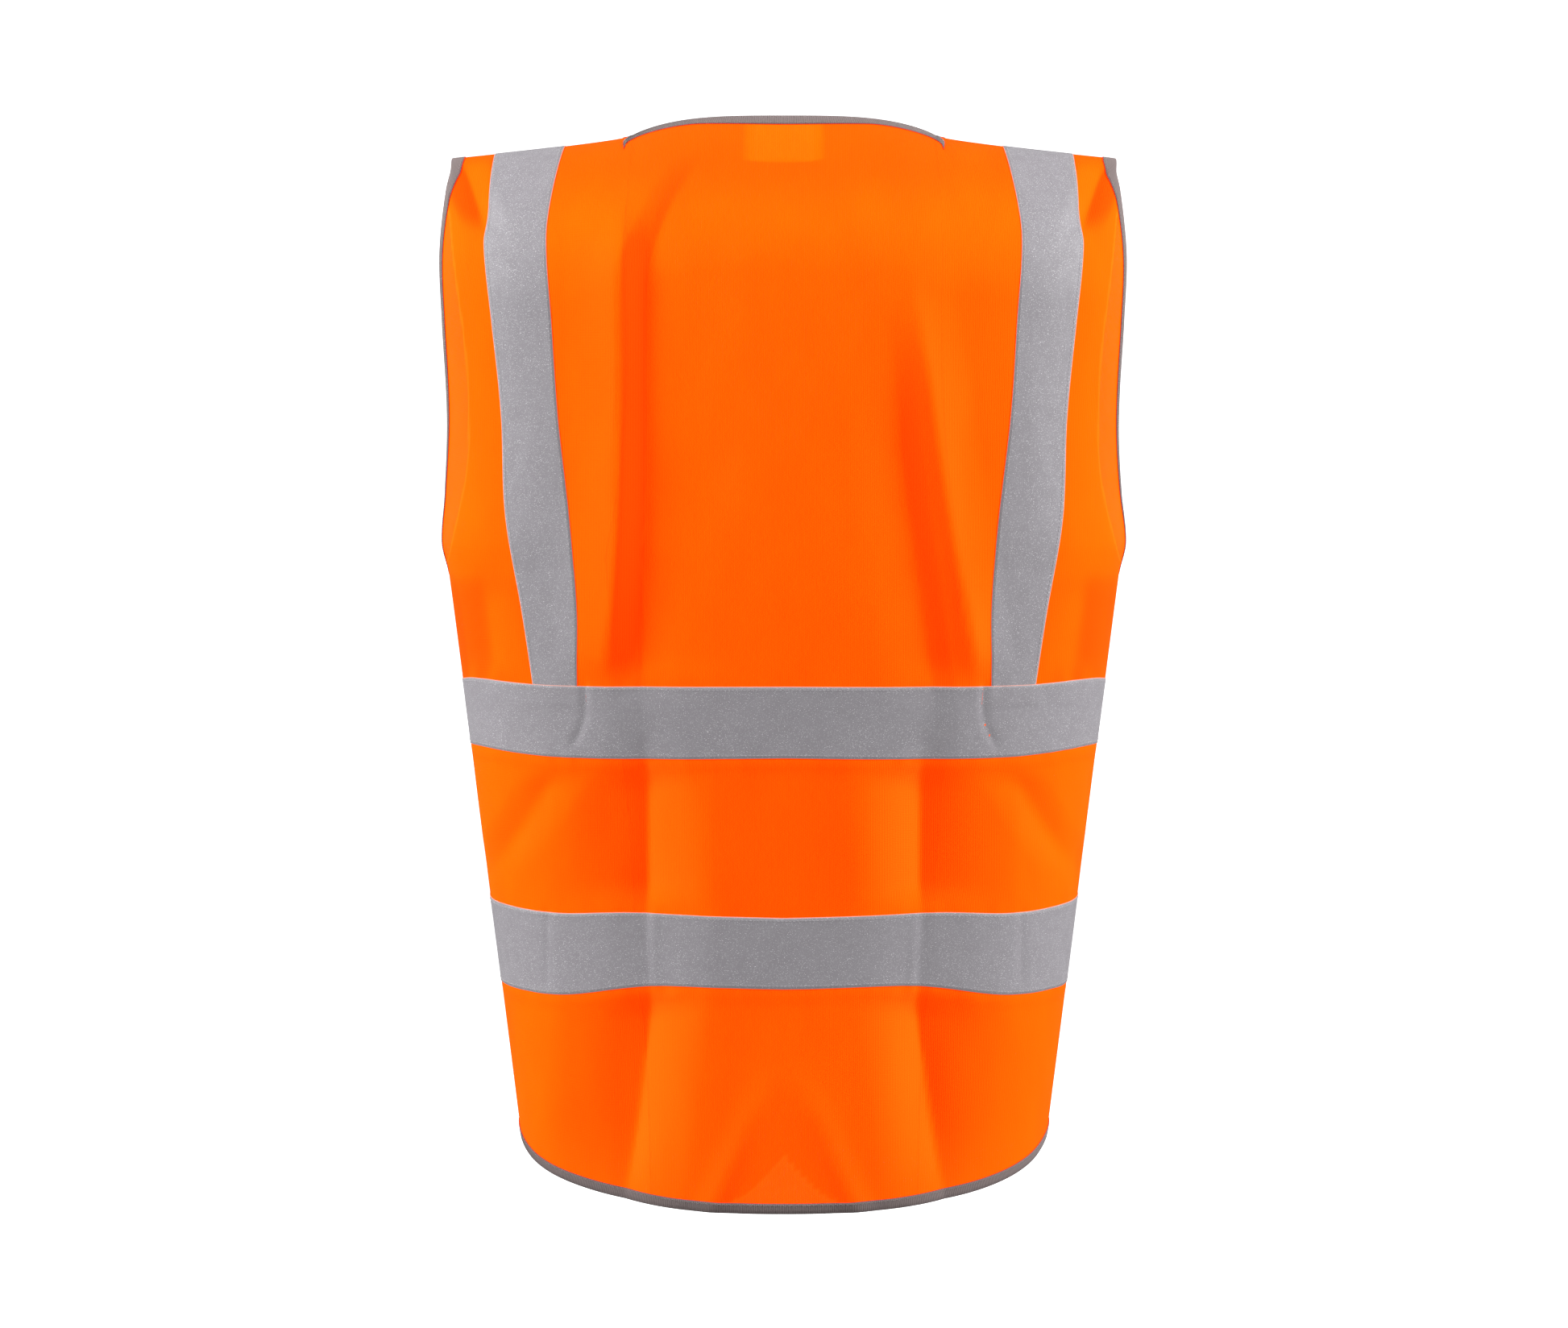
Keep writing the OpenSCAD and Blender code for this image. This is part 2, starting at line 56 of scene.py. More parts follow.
cut = {
    "underarmHalf": 239, "armholeDrop": 307, "sideTaper": 0.124, "sideHemDrop": 710,
    "backTail": 43, "frontTail": 40, "armholeReach": 50,
    "neckHalf": 108, "neckRise": 11.6, "neckDepth": 60, "neckTilt": 35,
    "shoulderFall": 16, "shoulderRound": 110, "vNeckDrop": 262,
    "overlapHalf": 17, "frontLift": 4.2, "seamGap": 0.08,
    "cornerX": 72, "cornerDrop": 650,
}
armholeEdge = [(0, 235), (16, 236.5), (80, 242), (132, 239.8), (201, 236.8), (253, 239.3), (288, 242.5),
    (307, 239)]
frontArmhole = [(16, 236.5), (50, 234.8), (80, 231.5), (105, 228), (150, 222), (190, 219.6), (230, 219.8),
                (255, 224), (281, 230.5), (295, 234.5), (307, 239)]
backDepth = [(-15, 110), (100, 128), (200, 138), (310, 142), (450, 140), (600, 138), (760, 136)]
frontDepth = [(-15, 94), (100, 116), (200, 131), (310, 138), (450, 141), (600, 140), (760, 137)]
roundness = [(0, 0.62), (307, 0.64), (450, 0.76), (760, 0.85)]
vNeck = [(0, 108), (60, 91), (120, 69), (180, 39), (230, 6), (262, -17)]
braceOuter = [(0, 205), (46, 208), (76, 210), (133, 204), (200, 197), (268, 194), (336, 183), (390, 175)]
braceInner = [(0, 154), (46, 163), (76, 166), (133, 162), (200, 157), (268, 149), (336, 143), (390, 144)]
back, front = 1, -1


def smooth(t):
    t = np.clip(t, 0, 1)
    return t * t * (3 - 2 * t)


def curve(at, profile):  # a smooth curve through the points of a profile
    p = np.array(profile, float)
    x, y = p[:, 0], p[:, 1]
    k = np.arange(len(p))
    lo, hi = np.maximum(k - 1, 0), np.minimum(k + 1, len(p) - 1)
    m = (y[hi] - y[lo]) / (x[hi] - x[lo])
    t = np.clip(at, x[0], x[-1])
    i = np.clip(np.searchsorted(x, t, side="right") - 1, 0, len(p) - 2)
    span = x[i + 1] - x[i]
    s = (t - x[i]) / span
    return (y[i] * (1 + 2 * s) * (1 - s) ** 2 + m[i] * span * s * (1 - s) ** 2
            + y[i + 1] * s * s * (3 - 2 * s) + m[i + 1] * span * s * s * (s - 1))


def sind(a):
    return np.sin(np.radians(a))


def cosd(a):
    return np.cos(np.radians(a))


def depthAt(side, drop):
    return curve(drop, backDepth if side == back else frontDepth)


def edgeHalf(drop):
    below = cut["underarmHalf"] - (drop - cut["armholeDrop"]) * cut["sideTaper"]
    return np.where(drop < cut["armholeDrop"], curve(drop, armholeEdge), below)


def backEdgeAngle(drop):
    mid, half = (cut["armholeDrop"] + cut["shoulderFall"]) / 2, (cut["armholeDrop"]
        - cut["shoulderFall"]) / 2
    d = np.maximum(drop, cut["shoulderFall"] + 0.3)
    t = np.clip((d - cut["shoulderFall"]) / cut["shoulderRound"], 0, 1)
    tip = np.sqrt(1 - (1 - t) ** 2)
    reach = cut["armholeReach"] * np.sqrt(np.maximum(0, 1 - ((d - mid) / half) ** 2))
    share = np.clip(reach / (tip * depthAt(back, d)), 0, 1)
    return np.degrees(np.arccos(share ** (1 / curve(d, roundness))))


def fullHalf(drop):
    return edgeHalf(drop) / np.where(drop >= cut["armholeDrop"], 1, sind(backEdgeAngle(drop)))


def edgeAngle(side, drop):  # angle round the garment of the armhole's edge, or of the side seam below it
    drop = np.asarray(drop, float)
    if side == back:
        angle = backEdgeAngle(drop)
    else:
        angle = np.degrees(np.arcsin(np.minimum(1, curve(drop, frontArmhole) / fullHalf(drop))))
    return np.where(drop >= cut["armholeDrop"], 90, angle)


topHalf = float(fullHalf(np.array(cut["shoulderFall"])))


def shoulderDrop(x):
    share = np.clip((np.abs(x) - cut["neckHalf"]) / (armholeEdge[0][1] - cut["neckHalf"]), 0, 1)
    return cut["shoulderFall"] * share ** 0.8


# drop, depth and tilt of the cloth where it starts, at the neckline or shoulder seam
def topOf(side, angle):
    x = topHalf * sind(angle)
    share = np.minimum(np.abs(x) / cut["neckHalf"], 1)
    drop = shoulderDrop(x)
    if side == front:
        return drop, np.zeros_like(drop), np.zeros_like(drop)
    drop = drop - cut["neckRise"] * (1 - share ** 3.5)
    return drop, cut["neckDepth"] * np.sqrt(1 - share ** 2), cut["neckTilt"] * (1 - smooth(share))


wayLength = cut["shoulderRound"] * math.pi / 2


def wayAt(side, angle, drop):
    start, _, tilt = topOf(side, angle)
    t = (drop - start) / cut["shoulderRound"]
    turned = (np.degrees(np.arccos(np.clip(cosd(tilt) * (1 - t), -1, 1))) - tilt) / (90 - tilt)
    return np.where(t >= 1, 1 + (t - 1) * cut["shoulderRound"] / wayLength, turned)


def basePoint(side, angle, way, lift=0.0):
    start, deep, tilt = topOf(side, angle)
    turn = tilt + (90 - tilt) * np.minimum(way, 1)
    drop = np.where(way >= 1, start + cut["shoulderRound"] + (way - 1) * wayLength,
                    start + cut["shoulderRound"] * (cosd(tilt) - cosd(turn)) / cosd(tilt))
    over = (sind(turn) - sind(tilt)) / (1 - sind(tilt))
    x = fullHalf(drop) * sind(angle)
    full = depthAt(side, drop) * np.maximum(cosd(angle), 0) ** curve(drop, roundness)
    y = deep + (full - deep) * over + lift * smooth((110 - x) / 84)
    return np.stack([x, side * (cut["seamGap"] + y), -drop], axis=-1)


def angleAt(x, drop):
    return np.degrees(np.arcsin(np.clip(x / fullHalf(drop), -1, 1)))


def spotAt(side, x, drop):
    a = angleAt(x, drop)
    return a, wayAt(side, a, drop)


def hemDrop(side, angle):
    tail = cut["backTail"] if side == back else cut["frontTail"]
    return cut["sideHemDrop"] + tail * (1 - (np.abs(angle) / 90) ** 2.25)


def ripple(x, y, seed):  # smooth noise from -1 to 1, one cell to a unit
    table = np.random.default_rng(seed).uniform(-1, 1, (64, 64))
    i, j = np.floor(x).astype(int), np.floor(y).astype(int)
    s, t = smooth(x - i), smooth(y - j)
    i, j, i2, j2 = i % 64, j % 64, (i + 1) % 64, (j + 1) % 64
    return ((table[i, j] * (1 - s) + table[i2, j] * s) * (1 - t)
            + (table[i, j2] * (1 - s) + table[i2, j2] * s) * t)


# ---- folds: "path" is (drop, x) down each crease, "wide" the flank to the wearer's left and right ----

def both(fold):  # a fold and its mirror image
    return [fold, {**fold, "path": [(drop, -x) for drop, x in fold["path"]], "wide": fold["wide"][::-1]}]


backFolds = [
    {"path": [(10, 52), (45, 76), (90, 93), (150, 96), (380, 98)], "wide": (18, 95),
     "depth": 6, "tip": 1.2, "fade": (5, 90, 340, 430)},
    {"path": [(30, 112), (120, 113), (228, 112), (301, 116), (400, 126)], "wide": (40, 16),
     "depth": -6, "tip": 2, "fade": (40, 100, 350, 410)},
    {"path": [(120, -72), (228, -80), (355, -98), (400, -104)], "wide": (36, 14),
     "depth": 4, "tip": 3, "fade": (120, 230, 385, 450)},
    {"path": [(118, -90), (169, -99), (228, -107), (301, -119), (355, -129), (400, -134)], "wide": (22, 30),
     "depth": -6, "tip": 2, "fade": (60, 190, 350, 410)},
    *both({"path": [(425, 97), (545, 97), (600, 95), (750, 115)], "wide": (66, 46),
           "depth": 11.5, "tip": 0.9, "fade": (395, 450, 690, 800)}),
    *both({"path": [(640, 4), (700, 28), (760, 54)], "wide": (16, 14),
           "depth": -2.4, "tip": 3, "fade": (645, 690, 740, 800)}),
    *both({"path": [(12, 232), (70, 209)], "wide": (14, 18), "depth": 4.5, "tip": 3,
    "fade": (8, 26, 50, 80)}),
    *both({"path": [(432, 150), (520, 205)], "wide": (20, 24),
           "depth": 3.2, "tip": 4, "fade": (436, 460, 490, 540)}),
    *both({"path": [(330, 212), (385, 206)], "wide": (26, 22),
           "depth": 3, "tip": 5, "fade": (300, 335, 372, 395)}),
    *both({"path": [(383, 138), (410, 139), (432, 149)], "wide": (6, 4),
           "depth": 2.4, "tip": 0.5, "fade": (380, 388, 422, 436)}),
    *both({"path": [(546, 166), (600, 167)], "wide": (5, 5),
           "depth": 1.6, "tip": 0.6, "fade": (540, 550, 592, 604)}),
    *both({"path": [(546, 92), (600, 91)], "wide": (6, 6),
           "depth": -1.4, "tip": 0.8, "fade": (540, 552, 590, 606)}),
]
frontFolds = [
    {"path": [(90, 128), (380, 112)], "wide": (34, 40), "depth": 6, "tip": 4, "fade": (70, 200, 330, 430)},
    {"path": [(90, -128), (380, -116)], "wide": (40, 34),
     "depth": 7, "tip": 4, "fade": (80, 220, 330, 430)},
    {"path": [(420, 96), (750, 118)], "wide": (44, 40),
     "depth": 10, "tip": 2, "fade": (410, 470, 690, 800)},
    {"path": [(420, -90), (750, -112)], "wide": (40, 44),
     "depth": 9, "tip": 2, "fade": (410, 470, 690, 800)},
]
bandTops = {"upper": 385.5, "lower": 546.5}
bandRise = {"upper": [(0, 0), (0.5, 0.5), (0.8, -2), (1, 1)],
    "lower": [(0, 0), (0.35, -2), (0.55, 0), (0.8, -3), (1, -6)]}
bandExtra = {"upper": [(0, 0), (0.45, 1), (0.75, -2), (1, -4)],
             "lower": [(0, 0), (0.28, 0), (0.55, 8), (0.8, 9), (1, 9)]}


def bandEdges(which, angle):
    u = np.abs(angle) / 90
    rise = curve(u, bandRise[which])
    top = bandTops[which] + rise
    return top, top + 50 + curve(u, bandExtra[which]) - rise / 2


def foldHeight(side, x, drop, angle, way):
    h = np.zeros_like(x)
    for f in backFolds if side == back else frontFolds:
        t = x - curve(drop, f["path"])
        wide = np.where(t > 0, *f["wide"])
        r = (np.sqrt(t * t + f["tip"] ** 2) - f["tip"]) / wide
        a, b, c, d = f["fade"]
        h -= f["depth"] * np.clip(1 - r, 0, 1) ** 1.5 * smooth((drop - a) / (b - a)) * smooth((d
            - drop) / (d - c))
    calm = np.ones_like(x)  # the bands hold the cloth flatter
    pucker = np.zeros_like(x)
    for which in bandTops:
        top, bottom = bandEdges(which, angle)
        calm -= 0.5 * smooth((drop - top + 22) / 22) * smooth((bottom + 22 - drop) / 22)
        for edge, seed in ((top, 5), (bottom, 6)):
            pucker += np.exp(-((drop - edge) / 9) ** 2) * ripple(x / 7.5 + 20, drop / 40, seed + side)
    h = h * calm + 0.28 * pucker
    for which in bandTops:  # a thin roll of cloth below each band
        h += 0.8 * np.exp(-((drop - bandEdges(which, angle)[1] - 4) / 2.6) ** 2)
    h += 1.5 * ripple(x / 60 + 10, drop / 120, 11 + side) + 0.5 * ripple(x / 24, drop / 60, 12 + side)
    held = smooth((90 - np.abs(angle)) / 14) * smooth(way / 0.3)
    return h * held


class Cloth:  # one side of the vest as a fine grid of points that every piece of it is laid on
    def __init__(self, side, lift=0.0, mirror=False):
        self.mirror = mirror
        self.side = side
        self.n, self.m, self.low, self.high = 601, 521, -0.004, 4.86
        t = np.linspace(-1, 1, self.n)
        angle = 90 * np.sign(t) * (1 - (1 - np.abs(t)) ** 1.6)
        a, w = np.meshgrid(angle, np.linspace(self.low, self.high, self.m), indexing="ij")
        w0 = np.maximum(w, 0)
        p = basePoint(side, a, w0, lift)
        if side == back:
            p = self.relax(p, a)
        n = self.normals(p)
        sign = -1 if mirror else 1
        h = foldHeight(side, sign * p[..., 0], -p[..., 2], a, w0)
        run = np.maximum(np.gradient(p[..., 0], axis=0), 0.2)
        slope = np.gradient(h, axis=0) / run * np.sign(p[..., 0]) * smooth(np.abs(p[..., 0]) / 40)
        # painted shade on flanks that face the middle, painted light on the others
        self.tone = np.clip(-1.9 * slope, -1, 1)
        if side == back:
            self.tone = self.layersAndPaintedShade(self.tone, np.abs(p[..., 0]), -p[..., 2])
        self.p = p + h[..., None] * n
        self.nrm = self.normals(self.p)

    # painted shade and light on the back panel, partly for what lies behind it: darker near the neck, under
    # the arms and in the middle between the bands, lighter over the neck label and where the front corners
    # part; above 1 it is one layer
    def layersAndPaintedShade(self, tone, x, drop):
        label = smooth((25 - x) / 1.5) * smooth((drop + 9) / 1.5) * smooth((22 - drop) / 1.5)
        tone = tone - 0.6 * smooth((80 - drop) / 60) * (1 - label) + 0.3 * label
        tone = tone - 0.5 * smooth((x - 170) / 25) * smooth((drop - 295) / 25) * smooth((400 - drop) / 12)
        armhole = smooth((x - curve(drop, frontArmhole)) / 2) * smooth((drop - 50) / 10) * smooth((303
            - drop) / 3)
        tone = np.clip(tone, -1, 1) * (1 - armhole) + 2 * armhole
        bend = np.sqrt(np.maximum(0, 1 - (np.maximum(drop - cut["cornerDrop"], 0) / 103) ** 2))
        parted = cut["cornerX"] - (cut["cornerX"] + cut["overlapHalf"]) * bend
        notch = smooth((parted - x) / 2) * smooth((drop - 665) / 20)
        tone = tone * (1 - notch) + 1.25 * notch
        return tone - 0.3 * smooth((70 - x) / 30) * smooth((drop - 430) / 10) * smooth((560 - drop) / 10)

    def relax(self, p, a):  # eases the cloth round the ends of the neckline
        rows = int(self.m * 1.1 / self.high)
        q = p[:, :rows].copy()
        x = np.abs(topHalf * sind(a[:, :rows]))
        share = smooth((x - 60) / 30) * smooth((170 - x) / 45)
        fade = np.linspace(1, 0, rows)[None, :]
        k = (0.5 * share * smooth(fade * 1.6))[..., None]
        k[:, :2] = 0
        for _ in range(260):
            mean = (q[2:, 1:-1] + q[:-2, 1:-1] + q[1:-1, 2:] + q[1:-1, :-2]) / 4
            q[1:-1, 1:-1] += k[1:-1, 1:-1] * (mean - q[1:-1, 1:-1])
        out = p.copy()
        out[:, :rows] = q
        return out

    def normals(self, p):
        n = np.cross(np.gradient(p, axis=0), np.gradient(p, axis=1)) * self.side
        return n / np.maximum(np.linalg.norm(n, axis=-1, keepdims=True), 1e-9)

    def mixer(self, angle, way):
        angle, way = np.asarray(angle, float), np.asarray(way, float)
        t = np.sign(angle) * (1 - (1 - np.minimum(np.abs(angle) / 90, 1)) ** (1 / 1.6))
        i = np.clip((t + 1) / 2 * (self.n - 1), 0, self.n - 1.0001)
        j = np.clip((way - self.low) / (self.high - self.low) * (self.m - 1), 0, self.m - 1.0001)
        i0, j0 = i.astype(int), j.astype(int)
        s, r = i - i0, j - j0

        def mix(g):
            a, b = (s[..., None], r[..., None]) if g.ndim == 3 else (s, r)
            return ((g[i0, j0] * (1 - a) + g[i0 + 1, j0] * a) * (1 - b)
                    + (g[i0, j0 + 1] * (1 - a) + g[i0 + 1, j0 + 1] * a) * b)
        return mix

    def at(self, angle, way, off=0.0):
        mix = self.mixer(angle, way)
        n = mix(self.nrm)
        n = n / np.linalg.norm(n, axis=-1, keepdims=True)
        p = mix(self.p) + np.asarray(off, float)[..., None] * n
        return p, n

    def across(self, angle, way, into):  # change of angle and way for one millimetre along "into"
        a, w = np.clip(angle, -89.6, 89.6), np.maximum(way, 0.004)
        da, dw = 0.2, 0.003
        pa = (self.at(a + da, w)[0] - self.at(a - da, w)[0]) / (2 * da)
        pw = (self.at(a, w + dw)[0] - self.at(a, w - dw)[0]) / (2 * dw)
        aa, ww, aw = (pa * pa).sum(-1), (pw * pw).sum(-1), (pa * pw).sum(-1)
        ia, iw = (into * pa).sum(-1), (into * pw).sum(-1)
        det = aa * ww - aw * aw
        return (ia * ww - iw * aw) / det, (iw * aa - ia * aw) / det


# ---- meshes ----

# points in millimetres, three marks a point
def finishMesh(name, points, faces, marks, flip=False):
    mesh = bpy.data.meshes.new(name)
    points = points / 1000 * ((-1, 1, 1) if flip else 1)
    mesh.from_pydata(points.tolist(), [], faces.tolist() if hasattr(faces, "tolist") else faces)
    mark = mesh.attributes.new("cloth", "FLOAT_VECTOR", "POINT")
    mark.data.foreach_set("vector", np.asarray(marks, np.float32).ravel())
    b = bmesh.new()
    b.from_mesh(mesh)
    bmesh.ops.recalc_face_normals(b, faces=b.faces)
    b.to_mesh(mesh)
    b.free()
    mesh.polygons.foreach_set("use_smooth", np.ones(len(mesh.polygons), bool))
    mesh.update()
    piece = bpy.data.objects.new(name, mesh)
    bpy.context.scene.collection.objects.link(piece)
    return piece


def lengths(grid, axis):  # distance along a grid's lines, in millimetres
    step = np.linalg.norm(np.diff(grid, axis=axis), axis=-1)
    zero = np.zeros_like(np.take(step, [0], axis=axis))
    return np.concatenate([zero, np.cumsum(step, axis=axis)], axis=axis)


# a thin closed solid between two grids
def slab(name, top, bottom, flip=False, edges=None, middle=0.5, tone=None):
    n, m = top.shape[:2]
    across, down = lengths(top, 0), lengths(top, 1)
    # a tone of painted shade and light, or the distance from the long edges
    third = tone if tone is not None else np.full((n, m), 9.0)
    if edges == 0:
        third = np.minimum(across, across[-1:] - across)
    if edges == 1:
        third = np.minimum(down, down[:, -1:] - down)
    across = across - across[int(middle * (n - 1))][None, :]
    marks = np.stack([across, down, third], axis=-1).reshape(-1, 3)
    i, j = np.meshgrid(np.arange(n - 1), np.arange(m - 1), indexing="ij")
    a = (i * m + j).ravel()
    outer = np.stack([a, a + m, a + m + 1, a + 1], axis=1)
    rim = np.concatenate([np.arange(m), np.arange(1, n) * m + m - 1,
                          (n - 1) * m + np.arange(m - 2, -1, -1), np.arange(n - 2, 0, -1) * m])
    after = np.roll(rim, -1)
    walls = np.stack([rim, after, after + n * m, rim + n * m], axis=1)
    faces = np.concatenate([outer, outer[:, ::-1] + n * m, walls])
    points = np.concatenate([top.reshape(-1, 3), bottom.reshape(-1, 3)])
    return finishMesh(name, points, faces, np.concatenate([marks, marks]), flip)


def area(grid):  # area of a grid of points, in square metres
    a, b = grid[1:, 1:] - grid[:-1, :-1], grid[1:, :-1] - grid[:-1, 1:]
    return float(np.linalg.norm(np.cross(a, b), axis=-1).sum()) / 2e6


def sweep(name, rings, marks, flip=False):  # a closed tube through rings of points, with flat ends
    n, m = rings.shape[:2]
    i, j = np.meshgrid(np.arange(n - 1), np.arange(m), indexing="ij")
    a, b = (i * m + j).ravel(), (i * m + (j + 1) % m).ravel()
    faces = np.stack([a, b, b + m, a + m], axis=1).tolist()
    half = m // 2
    for base in (0, (n - 1) * m):  # the ring goes out along one face and returns along the other
        faces += [[base + k, base + k + 1, base + m - 2 - k, base + m - 1 - k] for k in range(half - 1)]
    return finishMesh(name, rings.reshape(-1, 3), faces, marks.reshape(-1, 3), flip)


thread = {"sides": 6, "rings": (0.0, 0.55, 1.0, 0.55, 0.0), "reach": (-1.0, -0.82, 0.0, 0.82, 1.0)}


def dashes(name, centre, along, up, length, radius, flip):  # one bead of thread at each centre
    count = len(centre)
    side = np.cross(up, along)
    side /= np.linalg.norm(side, axis=-1, keepdims=True)
    up = np.cross(along, side)
    turn = np.arange(thread["sides"]) * 2 * math.pi / thread["sides"]
    points = []
    for r, s in zip(thread["rings"][1:-1], thread["reach"][1:-1]):
        arch = 0.35 * (1 - s * s)
        for t in turn:
            points.append(centre + along * length / 2 * s
                          + radius * ((math.cos(t) * r) * side + (math.sin(t) * r + arch) * up))
    points += [centre - along * length / 2, centre + along * length / 2]
    points = np.stack(points, axis=1)
    k, m = thread["sides"], points.shape[1]
    faces = []
    for r in range(2):
        faces += [[r * k + t, r * k + (t + 1) % k, (r + 1) * k + (t + 1) % k, (r + 1) * k + t]
            for t in range(k)]
    quads = (np.array(faces)[None] + (np.arange(count) * m)[:, None, None]).reshape(-1, 4).tolist()
    tips = [[t, m - 2, (t + 1) % k] for t in range(k)] + [[2 * k + (t + 1) % k, m - 1, 2 * k + t]
        for t in range(k)]
    tris = (np.array(tips)[None] + (np.arange(count) * m)[:, None, None]).reshape(-1, 3).tolist()
    marks = np.repeat(np.arange(count, dtype=float), m)
    return finishMesh(name, points.reshape(-1, 3), quads + tris,
        np.stack([marks, marks * 0, marks * 0], axis=1), flip)


def lineOf(points, ups, pitch, zigzag=0.0):  # evenly spaced stitches down a line of points
    run = lengths(points[None], 1)[0]
    s = np.arange(pitch / 2, run[-1] - pitch / 2, pitch)
    centre = np.stack([np.interp(s, run, points[:, k]) for k in range(3)], axis=1)
    up = np.stack([np.interp(s, run, ups[:, k]) for k in range(3)], axis=1)
    ahead = np.stack([np.interp(s + 0.5, run, points[:, k]) for k in range(3)], axis=1)
    along = ahead - centre
    along /= np.linalg.norm(along, axis=1, keepdims=True)
    up -= along * (up * along).sum(1, keepdims=True)
    up /= np.linalg.norm(up, axis=1, keepdims=True)
    if zigzag:
        side = np.cross(up, along)
        sign = np.where(np.arange(len(s)) % 2 == 0, 1, -1)[:, None]
        along = along + sign * zigzag * side
        along /= np.linalg.norm(along, axis=1, keepdims=True)
    return centre, along, up


def stitches(name, lines, length, radius, flip=False):
    parts = [np.concatenate(x) for x in zip(*lines)]
    return dashes(name, *parts, length, radius, flip)


# ---- finishes ----

class Value:  # a socket that takes part in sums
    def __init__(self, finish, socket):
        self.finish, self.socket = finish, socket

    def maths(self, operation, *others):
        return self.finish.add("Math", {"operation": operation}, dict(enumerate((self, *others))))

    def __add__(self, other):
        return self.maths("ADD", other)

    def __mul__(self, other):
        return self.maths("MULTIPLY", other)

    def __sub__(self, other):
        return self.maths("SUBTRACT", other)

    def __rsub__(self, other):
        return self.finish.add("Math", {"operation": "SUBTRACT"}, {0: other, 1: self})

    __radd__, __rmul__ = __add__, __mul__

    def wave(self, pitch):  # 0 to 1 and back once a pitch
        return (self * (2 * math.pi / pitch)).maths("SINE") * 0.5 + 0.5

    def ramp(self, low, high):  # 0 below low, 1 above high
        return self.finish.add("MapRange", {"interpolation_type": "SMOOTHSTEP"},
                               {"Value": self, "From Min": low, "From Max": high})


class Finish:  # one material
    def __init__(self, name, rough, **fixed):
        self.material = bpy.data.materials.new(name)
        self.material.use_nodes = True
        self.tree = self.material.node_tree
        self.shader = self.tree.nodes["Principled BSDF"]
        self.set(Roughness=rough)
        for socket, value in fixed.items():
            self.shader.inputs[socket.replace("_", " ")].default_value = value

    def plug(self, socket, value):
        if isinstance(value, Value):
            self.tree.links.new(value.socket, socket)
        else:
            socket.default_value = value

    def add(self, kind, settings, inputs, output=0):
        node = self.tree.nodes.new("ShaderNode" + kind)
        for key, value in settings.items():
            setattr(node, key, value)
        for key, value in inputs.items():
            self.plug(node.inputs[key], value)
        return Value(self, node.outputs[output])

    def set(self, **inputs):
        for key, value in inputs.items():
            self.plug(self.shader.inputs[key.replace("_", " ")], value)

    def marks(self):  # the three marks of a mesh, in millimetres, and the vector of them
        vector = self.add("Attribute", {"attribute_name": "cloth"}, {}, "Vector")
        return vector, *(self.add("SeparateXYZ", {}, {0: vector}, k) for k in range(3))

    def noise(self, vector, size, detail=2.0, stretch=(1, 1, 1)):
        placed = self.add("VectorMath", {"operation": "MULTIPLY"}, {0: vector, 1: stretch})
        return self.add("TexNoise", {}, {"Vector": placed, "Scale": 1 / size, "Detail": detail,
            "Roughness": 0.55})

    def mix(self, share, a, b):
        return self.add("Mix", {"data_type": "RGBA"}, {0: share, 6: a, 7: b}, 2)

    def relief(self, height, millimetres):
        self.set(Normal=self.add("Bump", {}, {"Strength": 1.0, "Distance": millimetres / 1000,
            "Height": height}))


def rgb(*values):
    return (*values, 1.0)


# colours of the knit: painted shade on fold flanks and in the rib grooves, painted light on the other
# flanks, a random paler cloud, and a red glow
knitLook = {
    "base": rgb(1.0, 0.165, 0.0), "deep": rgb(0.93, 0.12, 0.0), "pale": rgb(1.0, 0.175, 0.0),
    "fold": rgb(1.0, 0.10, 0.0), "paintedLight": rgb(1.0, 0.215, 0.004),
    "glow": rgb(1.0, 0.0, 0.0), "glowStrength": 0.62, "solid": 0.985, "sheer": 0.06, "ribPitch": 1.3,
    "loopPitch": 1.05,
}


def orangeKnit(name, look):
    f = Finish(name, 0.82, Emission_Strength=look["glowStrength"], Emission_Color=look["glow"],
        Specular_IOR_Level=0.03)
    vector, across, down, fold = f.marks()
    rib = across.wave(look["ribPitch"])
    loops = (down + across * 0.4).wave(look["loopPitch"])
    grain = f.noise(vector, 0.8, 2.0)
    cloud = f.noise(vector, 26, 2.0, (1, 0.5, 0))
    tone = f.mix(cloud.ramp(0.3, 0.7), look["base"], look["pale"])
    # the tone mark paints shade below 0 and light above 0, fading out towards 2, where the cloth is one
    # layer
    tone = f.mix((fold * -1).ramp(0.0, 1.0), f.mix(fold.ramp(0.0, 1.0) - fold.ramp(1.0, 2.0), tone,
        look["paintedLight"]), look["fold"])
    # painted shade in the grooves between ribs and loops, mixed with random grain
    grooveShadeAndGrain = (1 - rib) * 0.30 + (1 - loops) * 0.14 + (grain - 0.5) * 0.5
    f.set(Base_Color=f.mix(grooveShadeAndGrain.ramp(0.0, 0.9) * 0.6, tone, look["deep"]))
    f.set(Alpha=fold.ramp(1.0, 2.0) * -look["sheer"] + look["solid"])
    f.relief(rib * 0.6 + loops * 0.3 + grain * 0.5, 0.16)
    return f.material


# colours of the tape: a random cloud, painted glints of the glass beads, and a painted orange reflection
# along the edges
tapeLook = {
    "base": rgb(0.245, 0.23, 0.252), "cloud": rgb(0.225, 0.21, 0.23), "edge": rgb(0.86, 0.33, 0.24),
    "glow": 0.10,
    "reflectedOrangeWidth": 0.55, "paintedGlint": rgb(0.95, 0.94, 0.97),
}


